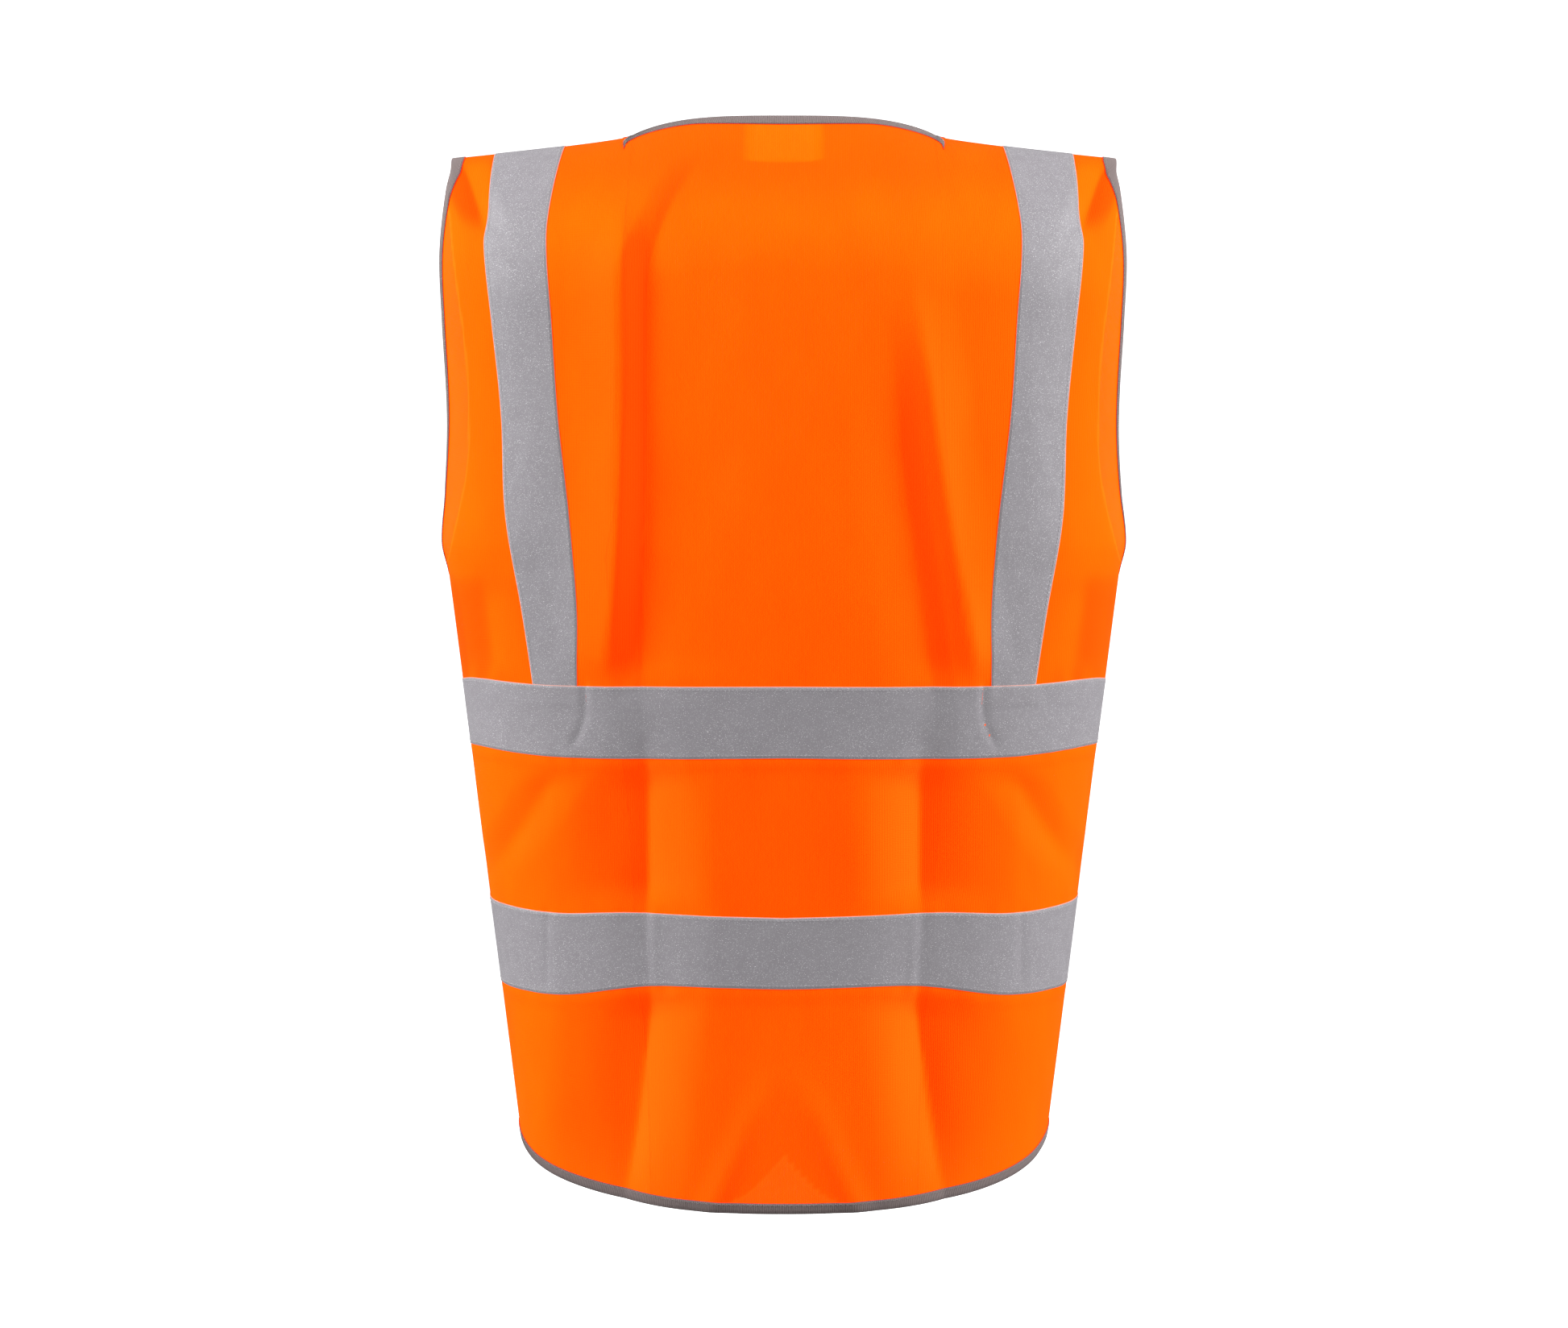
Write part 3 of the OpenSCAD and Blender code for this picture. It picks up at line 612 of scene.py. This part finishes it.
def reflectiveTape(name, look):
    f = Finish(name, 0.5, Metallic=0.0, Specular_IOR_Level=0.35, Emission_Color=rgb(1.0, 0.96, 1.0),
               Emission_Strength=look["glow"])
    vector, _, _, inside = f.marks()
    cloud = f.noise(vector, 14, 4.0)
    weave = f.noise(vector, 0.7, 2.0)
    # painted glints of the glass beads
    paintedGlint = f.noise(vector, 0.55, 0.0).ramp(0.70, 0.76)
    tone = f.mix(cloud.ramp(0.35, 0.68), look["base"], look["cloud"])
    tone = f.mix((weave - 0.5).ramp(-0.2, 0.2) * 0.25, tone, look["cloud"])
    tone = f.mix(paintedGlint * 0.75, tone, look["paintedGlint"])
    # painted orange reflection along the tape's edges
    f.set(Base_Color=f.mix((1 - inside.ramp(look["reflectedOrangeWidth"] * 0.4, look["reflectedOrangeWidth"])) * 0.85, tone,
        look["edge"]))
    f.set(Roughness=0.42 + cloud * 0.25)
    f.relief(weave * 0.35 + cloud * 0.8, 0.12)
    return f.material


# colours of the binding: painted shade in the rib valleys, painted light on the rib crowns, painted orange
# reflection and shade along the inner edge
bindingLook = {
    "paintedLight": rgb(0.30, 0.245, 0.24), "paintedShadeValley": rgb(0.15, 0.115, 0.112), "inner": rgb(0.62, 0.03, 0.006),
    "ribPitch": 1.0, "reflectionShadeFrom": 6.55,
}


def greyBinding(name, look):
    f = Finish(name, 0.85, Specular_IOR_Level=0.2)
    vector, along, inside, _ = f.marks()
    rib = along.wave(look["ribPitch"])
    yarn = f.noise(vector, 0.5, 2.0, (1, 0.4, 1))
    # painted shade in the rib valleys and painted light on the rib crowns, with random yarn tone
    tone = f.mix((rib * 0.75 + yarn * 0.45).ramp(0.1, 0.95), look["paintedShadeValley"], look["paintedLight"])
    # painted orange reflection and shade along the inner edge
    f.set(Base_Color=f.mix(inside.ramp(look["reflectionShadeFrom"], look["reflectionShadeFrom"] + 0.3) * 0.8, tone,
        look["inner"]))
    f.relief(rib * 0.7 + yarn * 0.5, 0.22)
    return f.material


def plainThread(name, colour, dark):
    f = Finish(name, 0.6, Specular_IOR_Level=0.3)
    vector = f.marks()[0]
    f.set(Base_Color=f.mix(f.noise(vector, 3.0, 2.0).ramp(0.3, 0.7), colour, dark))
    place = f.add("TexCoord", {}, {}, "Object")
    f.relief(f.noise(place, 0.0004, 1.0), 0.06)
    return f.material


def overlock(name, look):  # the sewn-over edge of a seam allowance
    f = Finish(name, 0.85, Emission_Strength=0.3, Emission_Color=look["glow"], Specular_IOR_Level=0.18)
    vector, along, across, _ = f.marks()
    loops = (along + across * 0.25).wave(1.6)
    # the thread loops lighter, painted shade between them
    f.set(Base_Color=f.mix(loops.ramp(0.3, 0.8), look["deep"], look["pale"]))
    f.relief(loops, 0.3)
    return f.material


def satin(name):
    f = Finish(name, 0.38, Specular_IOR_Level=0.5)
    vector, across, down, inside = f.marks()
    weft = down.wave(0.45)
    hem = (inside - 1.8).maths("ABSOLUTE").ramp(0.15, 0.35)
    shade = f.noise(vector, 9.0, 2.0)
    tone = f.mix(shade.ramp(0.3, 0.7), rgb(0.83, 0.82, 0.79), rgb(0.74, 0.73, 0.70))
    f.set(Base_Color=f.mix(hem, rgb(0.55, 0.54, 0.52), tone))
    f.relief(weft * 0.5 + across.wave(0.9) * 0.2, 0.05)
    return f.material


def napTape(name, colour, dark, size, height):  # the looped or hooked face of a fastening tab
    f = Finish(name, 0.9, Specular_IOR_Level=0.15)
    vector, across, down, inside = f.marks()
    tuft = f.noise(vector, size, 2.0)
    grid = across.wave(size * 2) * down.wave(size * 2)
    edge = inside.ramp(0.8, 1.3)
    f.set(Base_Color=f.mix((tuft + grid * 0.4).ramp(0.4, 0.85), dark, colour))
    f.relief((tuft + grid) * edge, height)
    return f.material


finishes = {
    "knit": orangeKnit("orange_knit_cloth", knitLook),
    "tape": reflectiveTape("reflective_tape_cloth", tapeLook),
    "binding": greyBinding("grey_rib_binding", bindingLook),
    "tapeThread": plainThread("pale_grey_thread", rgb(0.66, 0.64, 0.66), rgb(0.52, 0.5, 0.52)),
    "bindingThread": plainThread("grey_thread", rgb(0.42, 0.37, 0.37), rgb(0.30, 0.25, 0.25)),
    "overlock": overlock("overlock_edge", knitLook),
    "satin": satin("label_satin_cloth"),
    "loops": napTape("loop_tape_nap", rgb(0.95, 0.18, 0.02), rgb(0.6, 0.09, 0.01), 0.8, 0.5),
    "hooks": napTape("hook_tape_nap", rgb(0.9, 0.15, 0.015), rgb(0.45, 0.06, 0.008), 0.55, 0.35),
}
bodyOf = {"back": "back", "left": "front_left", "right": "front_right"}


def place(piece, part, finish, *nodes):  # gives a piece its finish, its body and the nodes it stands for
    piece.data.materials.append(finishes[finish])
    if part in ("left", "right"):
        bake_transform(piece)
    else:
        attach(piece, bodyOf.get(part, part))
    if nodes:
        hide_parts(*nodes)
    return piece


print("vest: finishes made")

# ---- the cloth of the three panels ----

clothOf = {"back": Cloth(back), "left": Cloth(front, cut["frontLift"]),
    "right": Cloth(front, 0.0, mirror=True)}
print("vest: cloth shaped")

panel = {"thickness": 0.6, "rowsRound": 50, "rowsArmhole": 74, "rowsSide": 100, "rowsHem": 18,
         "columnsShoulder": 50, "columnsNeck": 68, "columnsFront": 96}
armholeMiddle = (cut["armholeDrop"] + cut["shoulderFall"]) / 2
armholeHalf = (cut["armholeDrop"] - cut["shoulderFall"]) / 2
hemStart = cut["sideHemDrop"] - 60


def outerDrops():  # rows down the armhole and the side seam
    rounded = cut["shoulderFall"] + cut["shoulderRound"] * (1
        - cosd(np.linspace(0, 90, panel["rowsRound"] + 1)))
    first = math.degrees(math.acos((armholeMiddle - rounded[-1]) / armholeHalf))
    armhole = armholeMiddle - armholeHalf * cosd(np.linspace(first, 180, panel["rowsArmhole"] + 1))
    side = np.linspace(cut["armholeDrop"], hemStart, panel["rowsSide"] + 1)
    hem = hemStart + 60 * sind(np.linspace(0, 90, panel["rowsHem"] + 1))
    return np.concatenate([rounded, armhole[1:], side[1:], hem[1:]])


def hemWay(side, angle):
    return wayAt(side, angle, hemDrop(side, angle))


cornerEnd = float(hemDrop(front, np.degrees(np.arcsin(cut["cornerX"] / float(edgeHalf(np.array(750.0)))))))
cornerTall = cornerEnd - cut["cornerDrop"]
cornerWide = cut["cornerX"] + cut["overlapHalf"]


def frontEdgeX(drop):
    bend = cut["cornerX"] - cornerWide * np.sqrt(np.maximum(0, 1
        - ((drop - cut["cornerDrop"]) / cornerTall) ** 2))
    straight = np.where(drop <= cut["vNeckDrop"], curve(drop, vNeck), -cut["overlapHalf"])
    return np.where(drop > cut["cornerDrop"], bend, straight)


def innerDrop(drop):  # drop of the front edge's end of a row, from the drop of its outer end
    first = cut["shoulderFall"] + cut["shoulderRound"]
    low = cut["shoulderRound"] + (drop - first) / (hemStart - first) * (cut["cornerDrop"]
        - cut["shoulderRound"])
    return np.where(drop <= first, drop - cut["shoulderFall"],
                    np.where(drop >= hemStart, cut["cornerDrop"] + cornerTall * (drop - hemStart) / 60,
                    low))


drops = outerDrops()
share4 = np.linspace(0, 1, len(drops)) ** 4
neckShare = math.degrees(math.asin(cut["neckHalf"] / topHalf)) / float(edgeAngle(back,
    np.array(cut["shoulderFall"])))
neckTurns = np.degrees(np.arcsin(cut["neckHalf"] * sind(np.linspace(-90, 90, panel["columnsNeck"]
    + 1)) / topHalf))


def backGrid():
    outer = edgeAngle(back, drops)
    way = wayAt(back, outer, drops)
    u = np.concatenate([np.linspace(-1, -neckShare, panel["columnsShoulder"], endpoint=False),
                        neckTurns / outer[0], np.linspace(neckShare, 1, panel["columnsShoulder"] + 1)[1:]])
    angle = u[:, None] * outer[None, :]
    return angle, way[None, :] + share4[None, :] * (hemWay(back, angle) - way[-1])


def frontGrid():
    outer = edgeAngle(front, drops)
    outerWay = wayAt(front, outer, drops)
    inner = innerDrop(drops)
    innerAngle, innerWay = spotAt(front, frontEdgeX(inner), inner)
    s = np.linspace(0, 1, panel["columnsFront"] + 1)[:, None]
    angle = innerAngle + (outer - innerAngle) * s
    last = innerAngle[-1] + (90 - innerAngle[-1]) * s
    hem = hemWay(front, last) - (innerWay[-1] + (outerWay[-1] - innerWay[-1]) * s)
    return angle, innerWay + (outerWay - innerWay) * s + share4 * hem


def layer(cloth, angle, way, low, high):
    return cloth.at(angle, way, np.full(angle.shape, high) if np.isscalar(high) else high)[0], \
        cloth.at(angle, way, np.full(angle.shape, low) if np.isscalar(low) else low)[0]


for part, grid in (("back", backGrid()), ("left", frontGrid()), ("right", frontGrid())):
    top, bottom = layer(clothOf[part], *grid, 0.0, panel["thickness"])
    name = "knit_back" if part == "back" else "knit_front_" + part
    node = "back_panel" if part == "back" else "front_panel_" + part
    # the painted shade and light of the cloth, laid on the panel's grid
    tone = clothOf[part].mixer(*grid)(clothOf[part].tone)
    piece = slab(name, top, bottom, flip=part == "right", middle=0.5 if part == "back" else 0, tone=tone)
    place(piece, part, "knit", node)
    print("vest: panel", part, "area", round(area(top), 4))

# ---- reflective tapes ----

band = {"low": 0.62, "high": 1.02, "along": 1.9, "down": 24, "clear": 3.0, "overBrace": 0.42,
    "stitchIn": 2.3,
        "stitchPitch": 2.75, "stitchLength": 2.05, "stitchRadius": 0.17}
parts = {"back": back, "left": front, "right": front}


def clearAngle(drop, clear):
    return float(np.degrees(np.arccos((clear / 140) ** (1 / curve(np.array(float(drop)), roundness)))))


def bandGrid(part, which):
    middle = bandTops[which] + 25
    last = clearAngle(middle, band["clear"])
    first = -last
    if part != "back":
        first = float(angleAt(-cut["overlapHalf"] + 8.5, np.array(float(middle))))
    count = int((last - first) / 180 * 640 / band["along"])
    if part == "back":
        u = np.linspace(-1, 1, count + 1)
        angle = last * np.sign(u) * (1 - (1 - np.abs(u)) ** 1.3)
    else:
        angle = first + (last - first) * (1 - (1 - np.linspace(0, 1, count + 1)) ** 1.3)
    t = np.linspace(0, 1, band["down"] + 1)
    top, bottom = bandEdges(which, angle)
    drop = top[:, None] + (bottom - top)[:, None] * t[None, :]
    angle = np.repeat(angle[:, None], len(t), axis=1)
    return angle, drop, wayAt(parts[part], angle, drop)


def overBrace(angle, drop, which):  # the upper band lies over the ends of the brace tapes
    if which == "lower":
        return np.zeros_like(drop)
    x = np.abs(fullHalf(drop) * sind(angle))
    top, _ = bandEdges(which, angle)
    return band["overBrace"] * smooth((x - 138) / 5) * smooth((181 - x) / 5) * smooth((top + 16 - drop) / 3)


def seamLine(cloth, angle, way, off):
    points, ups = cloth.at(angle, way, np.full(np.shape(angle), off))
    return lineOf(points, ups, band["stitchPitch"])


def tapeStitches(name, part, lines):
    piece = stitches(name, lines, band["stitchLength"], band["stitchRadius"], part == "right")
    return place(piece, part, "tapeThread")


trims = {"back": [], "left": [], "right": []}
for part in parts:
    cloth = clothOf[part]
    lines = []
    for which in bandTops:
        angle, drop, way = bandGrid(part, which)
        lift = overBrace(angle, drop, which)
        top, bottom = layer(cloth, angle, way, band["low"] + lift, band["high"] + lift)
        node = f"back_band_{which}" if part == "back" else f"front_band_{which}_{part}"
        piece = slab(f"tape_band_{which}_{part}", top, bottom, part == "right", edges=1)
        trims[part].append(place(piece, part, "tape", node))
        a, lo, hi = angle[:, 0], drop[:, 0], drop[:, -1]
        for edge in (lo + band["stitchIn"], hi - band["stitchIn"]):
            lines.append(seamLine(cloth, a, wayAt(parts[part], a, edge), band["high"] + 0.1))
    trims[part].append(tapeStitches(f"stitches_bands_{part}", part, lines))
print("vest: bands laid")

brace = {"across": 20, "down": 190, "start": 1.8, "tuck": 9}


def braceGrid(side):
    s, t = np.meshgrid(np.linspace(0, 1, brace["across"] + 1), np.linspace(0, 1, brace["down"] + 1),
        indexing="ij")
    t = 0.35 * t * t + 0.65 * t
    last = bandTops["upper"] + brace["tuck"]
    guess = shoulderDrop(np.array(180.0)) * (1 - t) + last * t
    inner, outer = curve(guess, braceInner), curve(guess, braceOuter)
    angle = angleAt(inner + (outer - inner) * s, guess)
    start = topOf(side, angle)[0]
    drop = start * (1 - t) + last * t
    return angle, np.maximum(brace["start"] / cut["shoulderRound"], wayAt(side, angle, drop)), (outer
        - inner)


for part in parts:
    for hand, sign in (("left", 1), ("right", -1)):
        if part not in ("back", hand):
            continue
        cloth = clothOf[part]
        angle, way, wide = braceGrid(parts[part])
        if part == "back":
            angle = angle * sign
        top, bottom = layer(cloth, angle, way, band["low"], band["high"])
        piece = slab(f"tape_brace_{part}_{hand}", top, bottom, part == "right", edges=0)
        place(piece, part, "tape", f"back_brace_tape_{hand}" if part == "back"
            else f"front_brace_tape_{hand}")
        trims[part].append(piece)
        lines = []
        for share in (band["stitchIn"] / 49, 1 - band["stitchIn"] / 49):
            k = share * brace["across"]
            i = int(k)
            keep = slice(0, int(brace["down"] * 0.975))
            a = angle[i] * (1 - k + i) + angle[i + 1] * (k - i)
            w = way[i] * (1 - k + i) + way[i + 1] * (k - i)
            lines.append(seamLine(cloth, a[keep], w[keep], band["high"] + 0.1))
        trims[part].append(tapeStitches(f"stitches_brace_{part}_{hand}", part, lines))
print("vest: braces laid")

# ---- bound edges ----

edging = {"step": 0.5, "rib": 0.055, "stitchAt": 5.5, "stitchPitch": 1.7, "stitchLength": 1.9,
    "stitchRadius": 0.16,
          "outside": [(7, 1.10), (5.2, 1.18), (2.6, 1.2), (0, 1.0), (-0.55, 0.3), (0, -0.42), (2.6, -0.6),
          (7, -0.52)],
          "inside": [(7, 0.62), (5.2, 0.62), (2.6, 0.62), (0.05, 0.62), (-0.08, 0.3), (0.05, -0.02),
          (2.6, -0.02), (7, -0.02)]}


def evenly(cloth, angle, way, step):  # respaces a path to even steps along the cloth
    run = lengths(cloth.at(angle, way)[0][None], 1)[0]
    s = np.linspace(0, run[-1], int(run[-1] / step) + 1)
    return np.interp(s, run, angle), np.interp(s, run, way), s


def binding(name, part, angle, way, inward, *nodes):
    cloth = clothOf[part]
    angle, way, run = evenly(cloth, angle, way, edging["step"])
    p, n = cloth.at(angle, way)
    wide = 6  # the direction of the edge is taken over a few steps, so that the legs run smoothly
    k = np.arange(len(run))
    ahead, behind = np.minimum(k + wide, len(run) - 1), np.maximum(k - wide, 0)
    along = p[ahead] - p[behind]
    along /= np.linalg.norm(along, axis=1, keepdims=True)
    into = inward * np.cross(n, along)
    into /= np.linalg.norm(into, axis=1, keepdims=True)
    ga, gw = cloth.across(angle, way, into)

    def on(t, off):
        if t <= 0:
            return p - into * -t + off * n
        return cloth.at(np.clip(angle + t * ga, -90, 90), np.maximum(way + t * gw, 0),
            np.full(len(run), off))[0]
    rib = edging["rib"] * np.where(k % 2 == 0, 1.0, -1.0)[:, None]
    outer = []
    for t, off in edging["outside"]:
        q = on(t, off)
        outer.append(q + rib * (n if off > 0.5 else -n if off < 0 else -into))
    inner = [on(t, off) for t, off in edging["inside"]]
    rings = np.stack(outer + inner[::-1], axis=1)
    reach = np.array([t for t, _ in edging["outside"]] + [t for t, _ in edging["inside"]][::-1], float)
    marks = np.stack([np.repeat(run[:, None], len(reach), 1), np.repeat(reach[None], len(run), 0),
                      np.zeros((len(run), len(reach)))], axis=-1)
    piece = place(sweep(name, rings, marks, part == "right"), part, "binding", *nodes)
    t = edging["stitchAt"]
    points, ups = cloth.at(angle + t * ga, np.maximum(way + t * gw, 0), np.full(len(run), 1.24))
    line = lineOf(points, ups, edging["stitchPitch"], zigzag=0.7)
    thread = stitches("stitches_" + name, [line], edging["stitchLength"], edging["stitchRadius"],
        part == "right")
    trims[part] += [piece, place(thread, part, "bindingThread")]


def armholePath(side):
    first, last = cut["shoulderFall"] + 0.35, cut["armholeDrop"] - (0.03 if side == back else 0.0006)
    turn = np.linspace(math.acos((armholeMiddle - first) / armholeHalf),
        math.acos((armholeMiddle - last) / armholeHalf), 420)
    d = armholeMiddle - armholeHalf * np.cos(turn)
    angle = edgeAngle(side, d)
    return angle, wayAt(side, angle, d)


def frontEdgePath():
    d = np.concatenate([np.linspace(0, 12, 40) ** 2 / 12, np.linspace(12, cut["cornerDrop"], 400)[1:],
                        cut["cornerDrop"] + cornerTall * sind(np.linspace(0, 89.6, 96))[1:]])
    return spotAt(front, frontEdgeX(d), d)


def hemPath(part):
    last = clearAngle(cut["sideHemDrop"], 0.9)
    if part == "back":
        angle = last * sind(np.linspace(-90, 90, 500))
        return angle, hemWay(back, angle)
    first = float(spotAt(front, frontEdgeX(np.array(cornerEnd)), np.array(cornerEnd))[0])
    angle = first + 0.1 + (last - first - 0.1) * sind(np.linspace(0, 90, 300))
    return angle, hemWay(front, angle)


neckReach = math.degrees(math.asin((cut["neckHalf"] - 0.3) / topHalf))
neckAngle = np.degrees(np.arcsin(sind(neckReach) * sind(np.linspace(-90, 90, 500))))
binding("binding_neck", "back", neckAngle, np.zeros(500), 1, "back_neck_binding")
binding("binding_hem_back", "back", *hemPath("back"), -1, "back_hem_binding")
a, w = armholePath(back)
binding("binding_armhole_back_left", "back", a, w, 1, "armhole_binding_back_left")
binding("binding_armhole_back_right", "back", -a, w, -1, "armhole_binding_back_right")
for part in ("left", "right"):
    binding("binding_armhole_front_" + part, part, *armholePath(front), -1, "armhole_binding_front_" + part)
    binding("binding_edge_" + part, part, *frontEdgePath(), 1, "front_edge_binding_" + part)
    binding("binding_hem_front_" + part, part, *hemPath(part), 1, "front_hem_binding_" + part)
print("vest: edges bound")

# ---- seam allowances, tabs and labels ----

allowance = {"width": 8, "low": -0.95, "high": -0.1, "thread": 0.16, "pitch": 2.4}


def allowancePiece(name, angle, way, node):
    top, bottom = layer(clothOf["back"], angle, way, allowance["low"], allowance["high"])
    piece = slab(name, top, bottom, edges=1)
    trims["back"].append(place(piece, "back", "overlock", node))
    lines = []
    for k in (1, angle.shape[1] - 1):
        p, n = clothOf["back"].at(angle[:, k], way[:, k], np.full(len(angle), allowance["low"] - 0.1))
        lines.append(lineOf(p, -n, allowance["pitch"] * 0.5, zigzag=0.9))
    thread = stitches("stitches_" + name, lines, 1.6, allowance["thread"])
    trims["back"].append(place(thread, "back", "tapeThread"))


for hand, sign in (("left", 1), ("right", -1)):
    first = math.degrees(math.asin((cut["neckHalf"] + 7) / topHalf))
    last = math.degrees(math.asin((float(edgeHalf(np.array(16.0))) - 9) / topHalf))
    a, t = np.meshgrid(np.linspace(first, last, 70), np.linspace(0, 1, 5), indexing="ij")
    allowancePiece("seam_shoulder_" + hand, sign * a, 0.004 + t * allowance["width"] / wayLength,
                   "shoulder_seam_" + hand)
    d, t = np.meshgrid(np.linspace(cut["armholeDrop"] + 9, cut["sideHemDrop"] - 9, 220),
        np.linspace(0, 1, 5),
                       indexing="ij")
    a = np.degrees(np.arccos(((0.3 + t * allowance["width"]) / 140) ** (1 / curve(d, roundness))))
    allowancePiece("seam_side_" + hand, sign * a, wayAt(back, a, d), "side_seam_" + hand)

tab = {"drops": {"top": 276, "middle": 465, "bottom": 600}, "wide": 18, "tall": 50, "thick": 0.9,
    "rows": 50, "columns": 20,
       "nap": 0.12}


def tabPiece(name, part, where, low, high, finish, node):
    drop0 = tab["drops"][where]
    x, d = np.meshgrid(np.linspace(-tab["wide"] / 2, tab["wide"] / 2, tab["columns"] + 1),
                       np.linspace(drop0, drop0 + tab["tall"], tab["rows"] + 1), indexing="ij")
    angle, way = spotAt(front, x, d)
    nap = tab["nap"] * ripple(x * 1.3 + 20, d * 1.3, 21 + drop0)
    outside = high > 0
    top, bottom = layer(clothOf[part], angle, way, low if outside else low + nap, high + nap if outside
        else high)
    piece = place(slab(name, top, bottom, part == "right", edges=0), part, finish, node)
    lines = []
    for i in (1, tab["columns"] - 1):
        lines.append((angle[i], way[i]))
    for j in (2, tab["rows"] - 2):
        lines.append((angle[1:-1, j], way[1:-1, j]))
    off = (high + 0.12) if outside else (low - 0.12)
    made = []
    for a, w in lines:
        p, n = clothOf[part].at(a, w, np.full(len(a), off))
        made.append(lineOf(p, n if outside else -n, 2.4))
    trims[part] += [piece, place(stitches("stitches_" + name, made, 1.8, 0.15, part == "right"), part,
        "tapeThread")]


for where in tab["drops"]:
    tabPiece("loops_" + where, "left", where, -0.1 - tab["thick"], -0.05, "loops", "loop_tab_" + where)
    tabPiece("hooks_" + where, "right", where, 0.65, 0.65 + tab["thick"], "hooks", "hook_tab_" + where)
print("vest: seams and tabs made")


def label(name, corner, wideway, downway, wide, tall, swell, body, node):
    outway = np.cross(wideway, downway)
    u, v = np.meshgrid(np.linspace(0, 1, 33), np.linspace(0, 1, 25), indexing="ij")
    bow = swell * np.sin(math.pi * u) * (0.3 + 0.7 * v) + 0.25 * ripple(u * 4 + 10, v * 3, 31)
    face = corner + wideway * (u * wide)[..., None] + downway * (v * tall)[..., None] + outway * bow[...,
        None]
    piece = slab(name, face + outway * 0.17, face - outway * 0.17, edges=0)
    place(piece, body, "satin", node)
    k = int(0.06 * 24)
    line = lineOf(face[2:-2, k] + outway * 0.25, np.repeat(outway[None], 29, 0), 2.2)
    thread = stitches("stitches_" + name, [line], 1.7, 0.14)
    place(thread, body, "tapeThread")
    return piece, thread


neckLabel = {"wide": 48, "tall": 31, "tilt": math.radians(38), "swell": 1.2}
careLabel = {"wide": 32, "tall": 58, "swell": 1.5}
box = np.array(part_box("neck_label")) * 1000
down = np.array([0, math.sin(neckLabel["tilt"]), -math.cos(neckLabel["tilt"])])
corner = np.array([box[0][0], box[0][1] + 0.2, box[1][2] - 0.2])
neckPiece, neckThread = label("label_neck", corner, np.array([1.0, 0, 0]), down, neckLabel["wide"],
    neckLabel["tall"],
                              neckLabel["swell"], "neck_label", "neck_label")
slant = math.atan(cut["sideTaper"])
turn = math.radians(6)
box = np.array(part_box("care_label")) * 1000
down = np.array([-math.sin(slant), 0, -math.cos(slant)])
wideway = np.array([-math.sin(turn) * math.cos(slant), math.cos(turn), math.sin(turn) * math.sin(slant)])
corner = np.array([box[1][0] - 0.2, box[0][1], box[1][2] - 0.2])
carePiece, careThread = label("label_care", corner, wideway, down, careLabel["wide"], careLabel["tall"],
                              -careLabel["swell"], "care_label", "care_label")
print("vest: labels made")

# ---- camera, lights and floor ----

studio = {"eye": (0, 4.0, -0.1757), "aim": (0, 0, -0.3769), "lens": 128.2, "sideAngle": 77,
    "sideDistance": 3.0,
          "sideHeight": 1.3, "sidePower": 130, "ambient": 0.34, "floor": -1.05}
scene = bpy.context.scene
scene.view_settings.view_transform = "Standard"
camera = bpy.data.objects.new("camera", bpy.data.cameras.new("camera"))
scene.collection.objects.link(camera)
camera.location = studio["eye"]
camera.rotation_euler = (Vector(studio["aim"]) - Vector(studio["eye"])).to_track_quat("-Z", "Y").to_euler()
camera.data.lens = studio["lens"]
camera.data.sensor_width = 36
camera.data.clip_end = 60
scene.camera = camera

for sign in (1, -1):
    light = bpy.data.lights.new("side_light", "AREA")
    light.shape, light.size, light.size_y, light.energy = "RECTANGLE", 1.3, 2.2, studio["sidePower"]
    lamp = bpy.data.objects.new("side_light", light)
    scene.collection.objects.link(lamp)
    turn = math.radians(studio["sideAngle"]) * sign
    lamp.location = (studio["sideDistance"] * math.sin(turn), studio["sideDistance"] * math.cos(turn),
                     studio["sideHeight"])
    lamp.rotation_euler = (Vector((0, 0, -0.38)) - lamp.location).to_track_quat("-Z", "Y").to_euler()

world = bpy.data.worlds.new("studio")
world.use_nodes = True
world.node_tree.nodes["Background"].inputs["Color"].default_value = (1, 1, 1, 1)
world.node_tree.nodes["Background"].inputs["Strength"].default_value = studio["ambient"]
scene.world = world


def stagePiece(name, points, faces, colour, glow):
    mesh = bpy.data.meshes.new(name)
    mesh.from_pydata(points, [], faces)
    piece = bpy.data.objects.new(name, mesh)
    scene.collection.objects.link(piece)
    finish = Finish(name, 0.9, Emission_Color=colour, Emission_Strength=glow)
    speck = finish.noise(finish.add("TexCoord", {}, {}, "Object"), 0.4)
    finish.set(Base_Color=finish.mix(speck * 0.05, colour, rgb(0.9, 0.9, 0.9)))
    mesh.materials.append(finish.material)
    for ray in ("visible_diffuse", "visible_glossy", "visible_shadow", "visible_transmission"):
        setattr(piece, ray, False)


rim = [(7 * math.cos(k * math.pi / 24), 7 * math.sin(k * math.pi / 24)) for k in range(48)]
stagePiece("floor", [(x, y, studio["floor"]) for x, y in rim], [list(range(48))], rgb(1, 1, 1), 0.8)
wall = [(x * 1.4, y * 1.4, z) for z in (-4, 8) for x, y in rim]
stagePiece("backdrop", wall + [(0, 0, 9)], [[k, (k + 1) % 48, 48 + (k + 1) % 48, 48 + k] for k in range(48)]
           + [[48 + k, 48 + (k + 1) % 48, 96] for k in range(48)], rgb(1, 1, 1), 1.0)
print("vest: studio set")
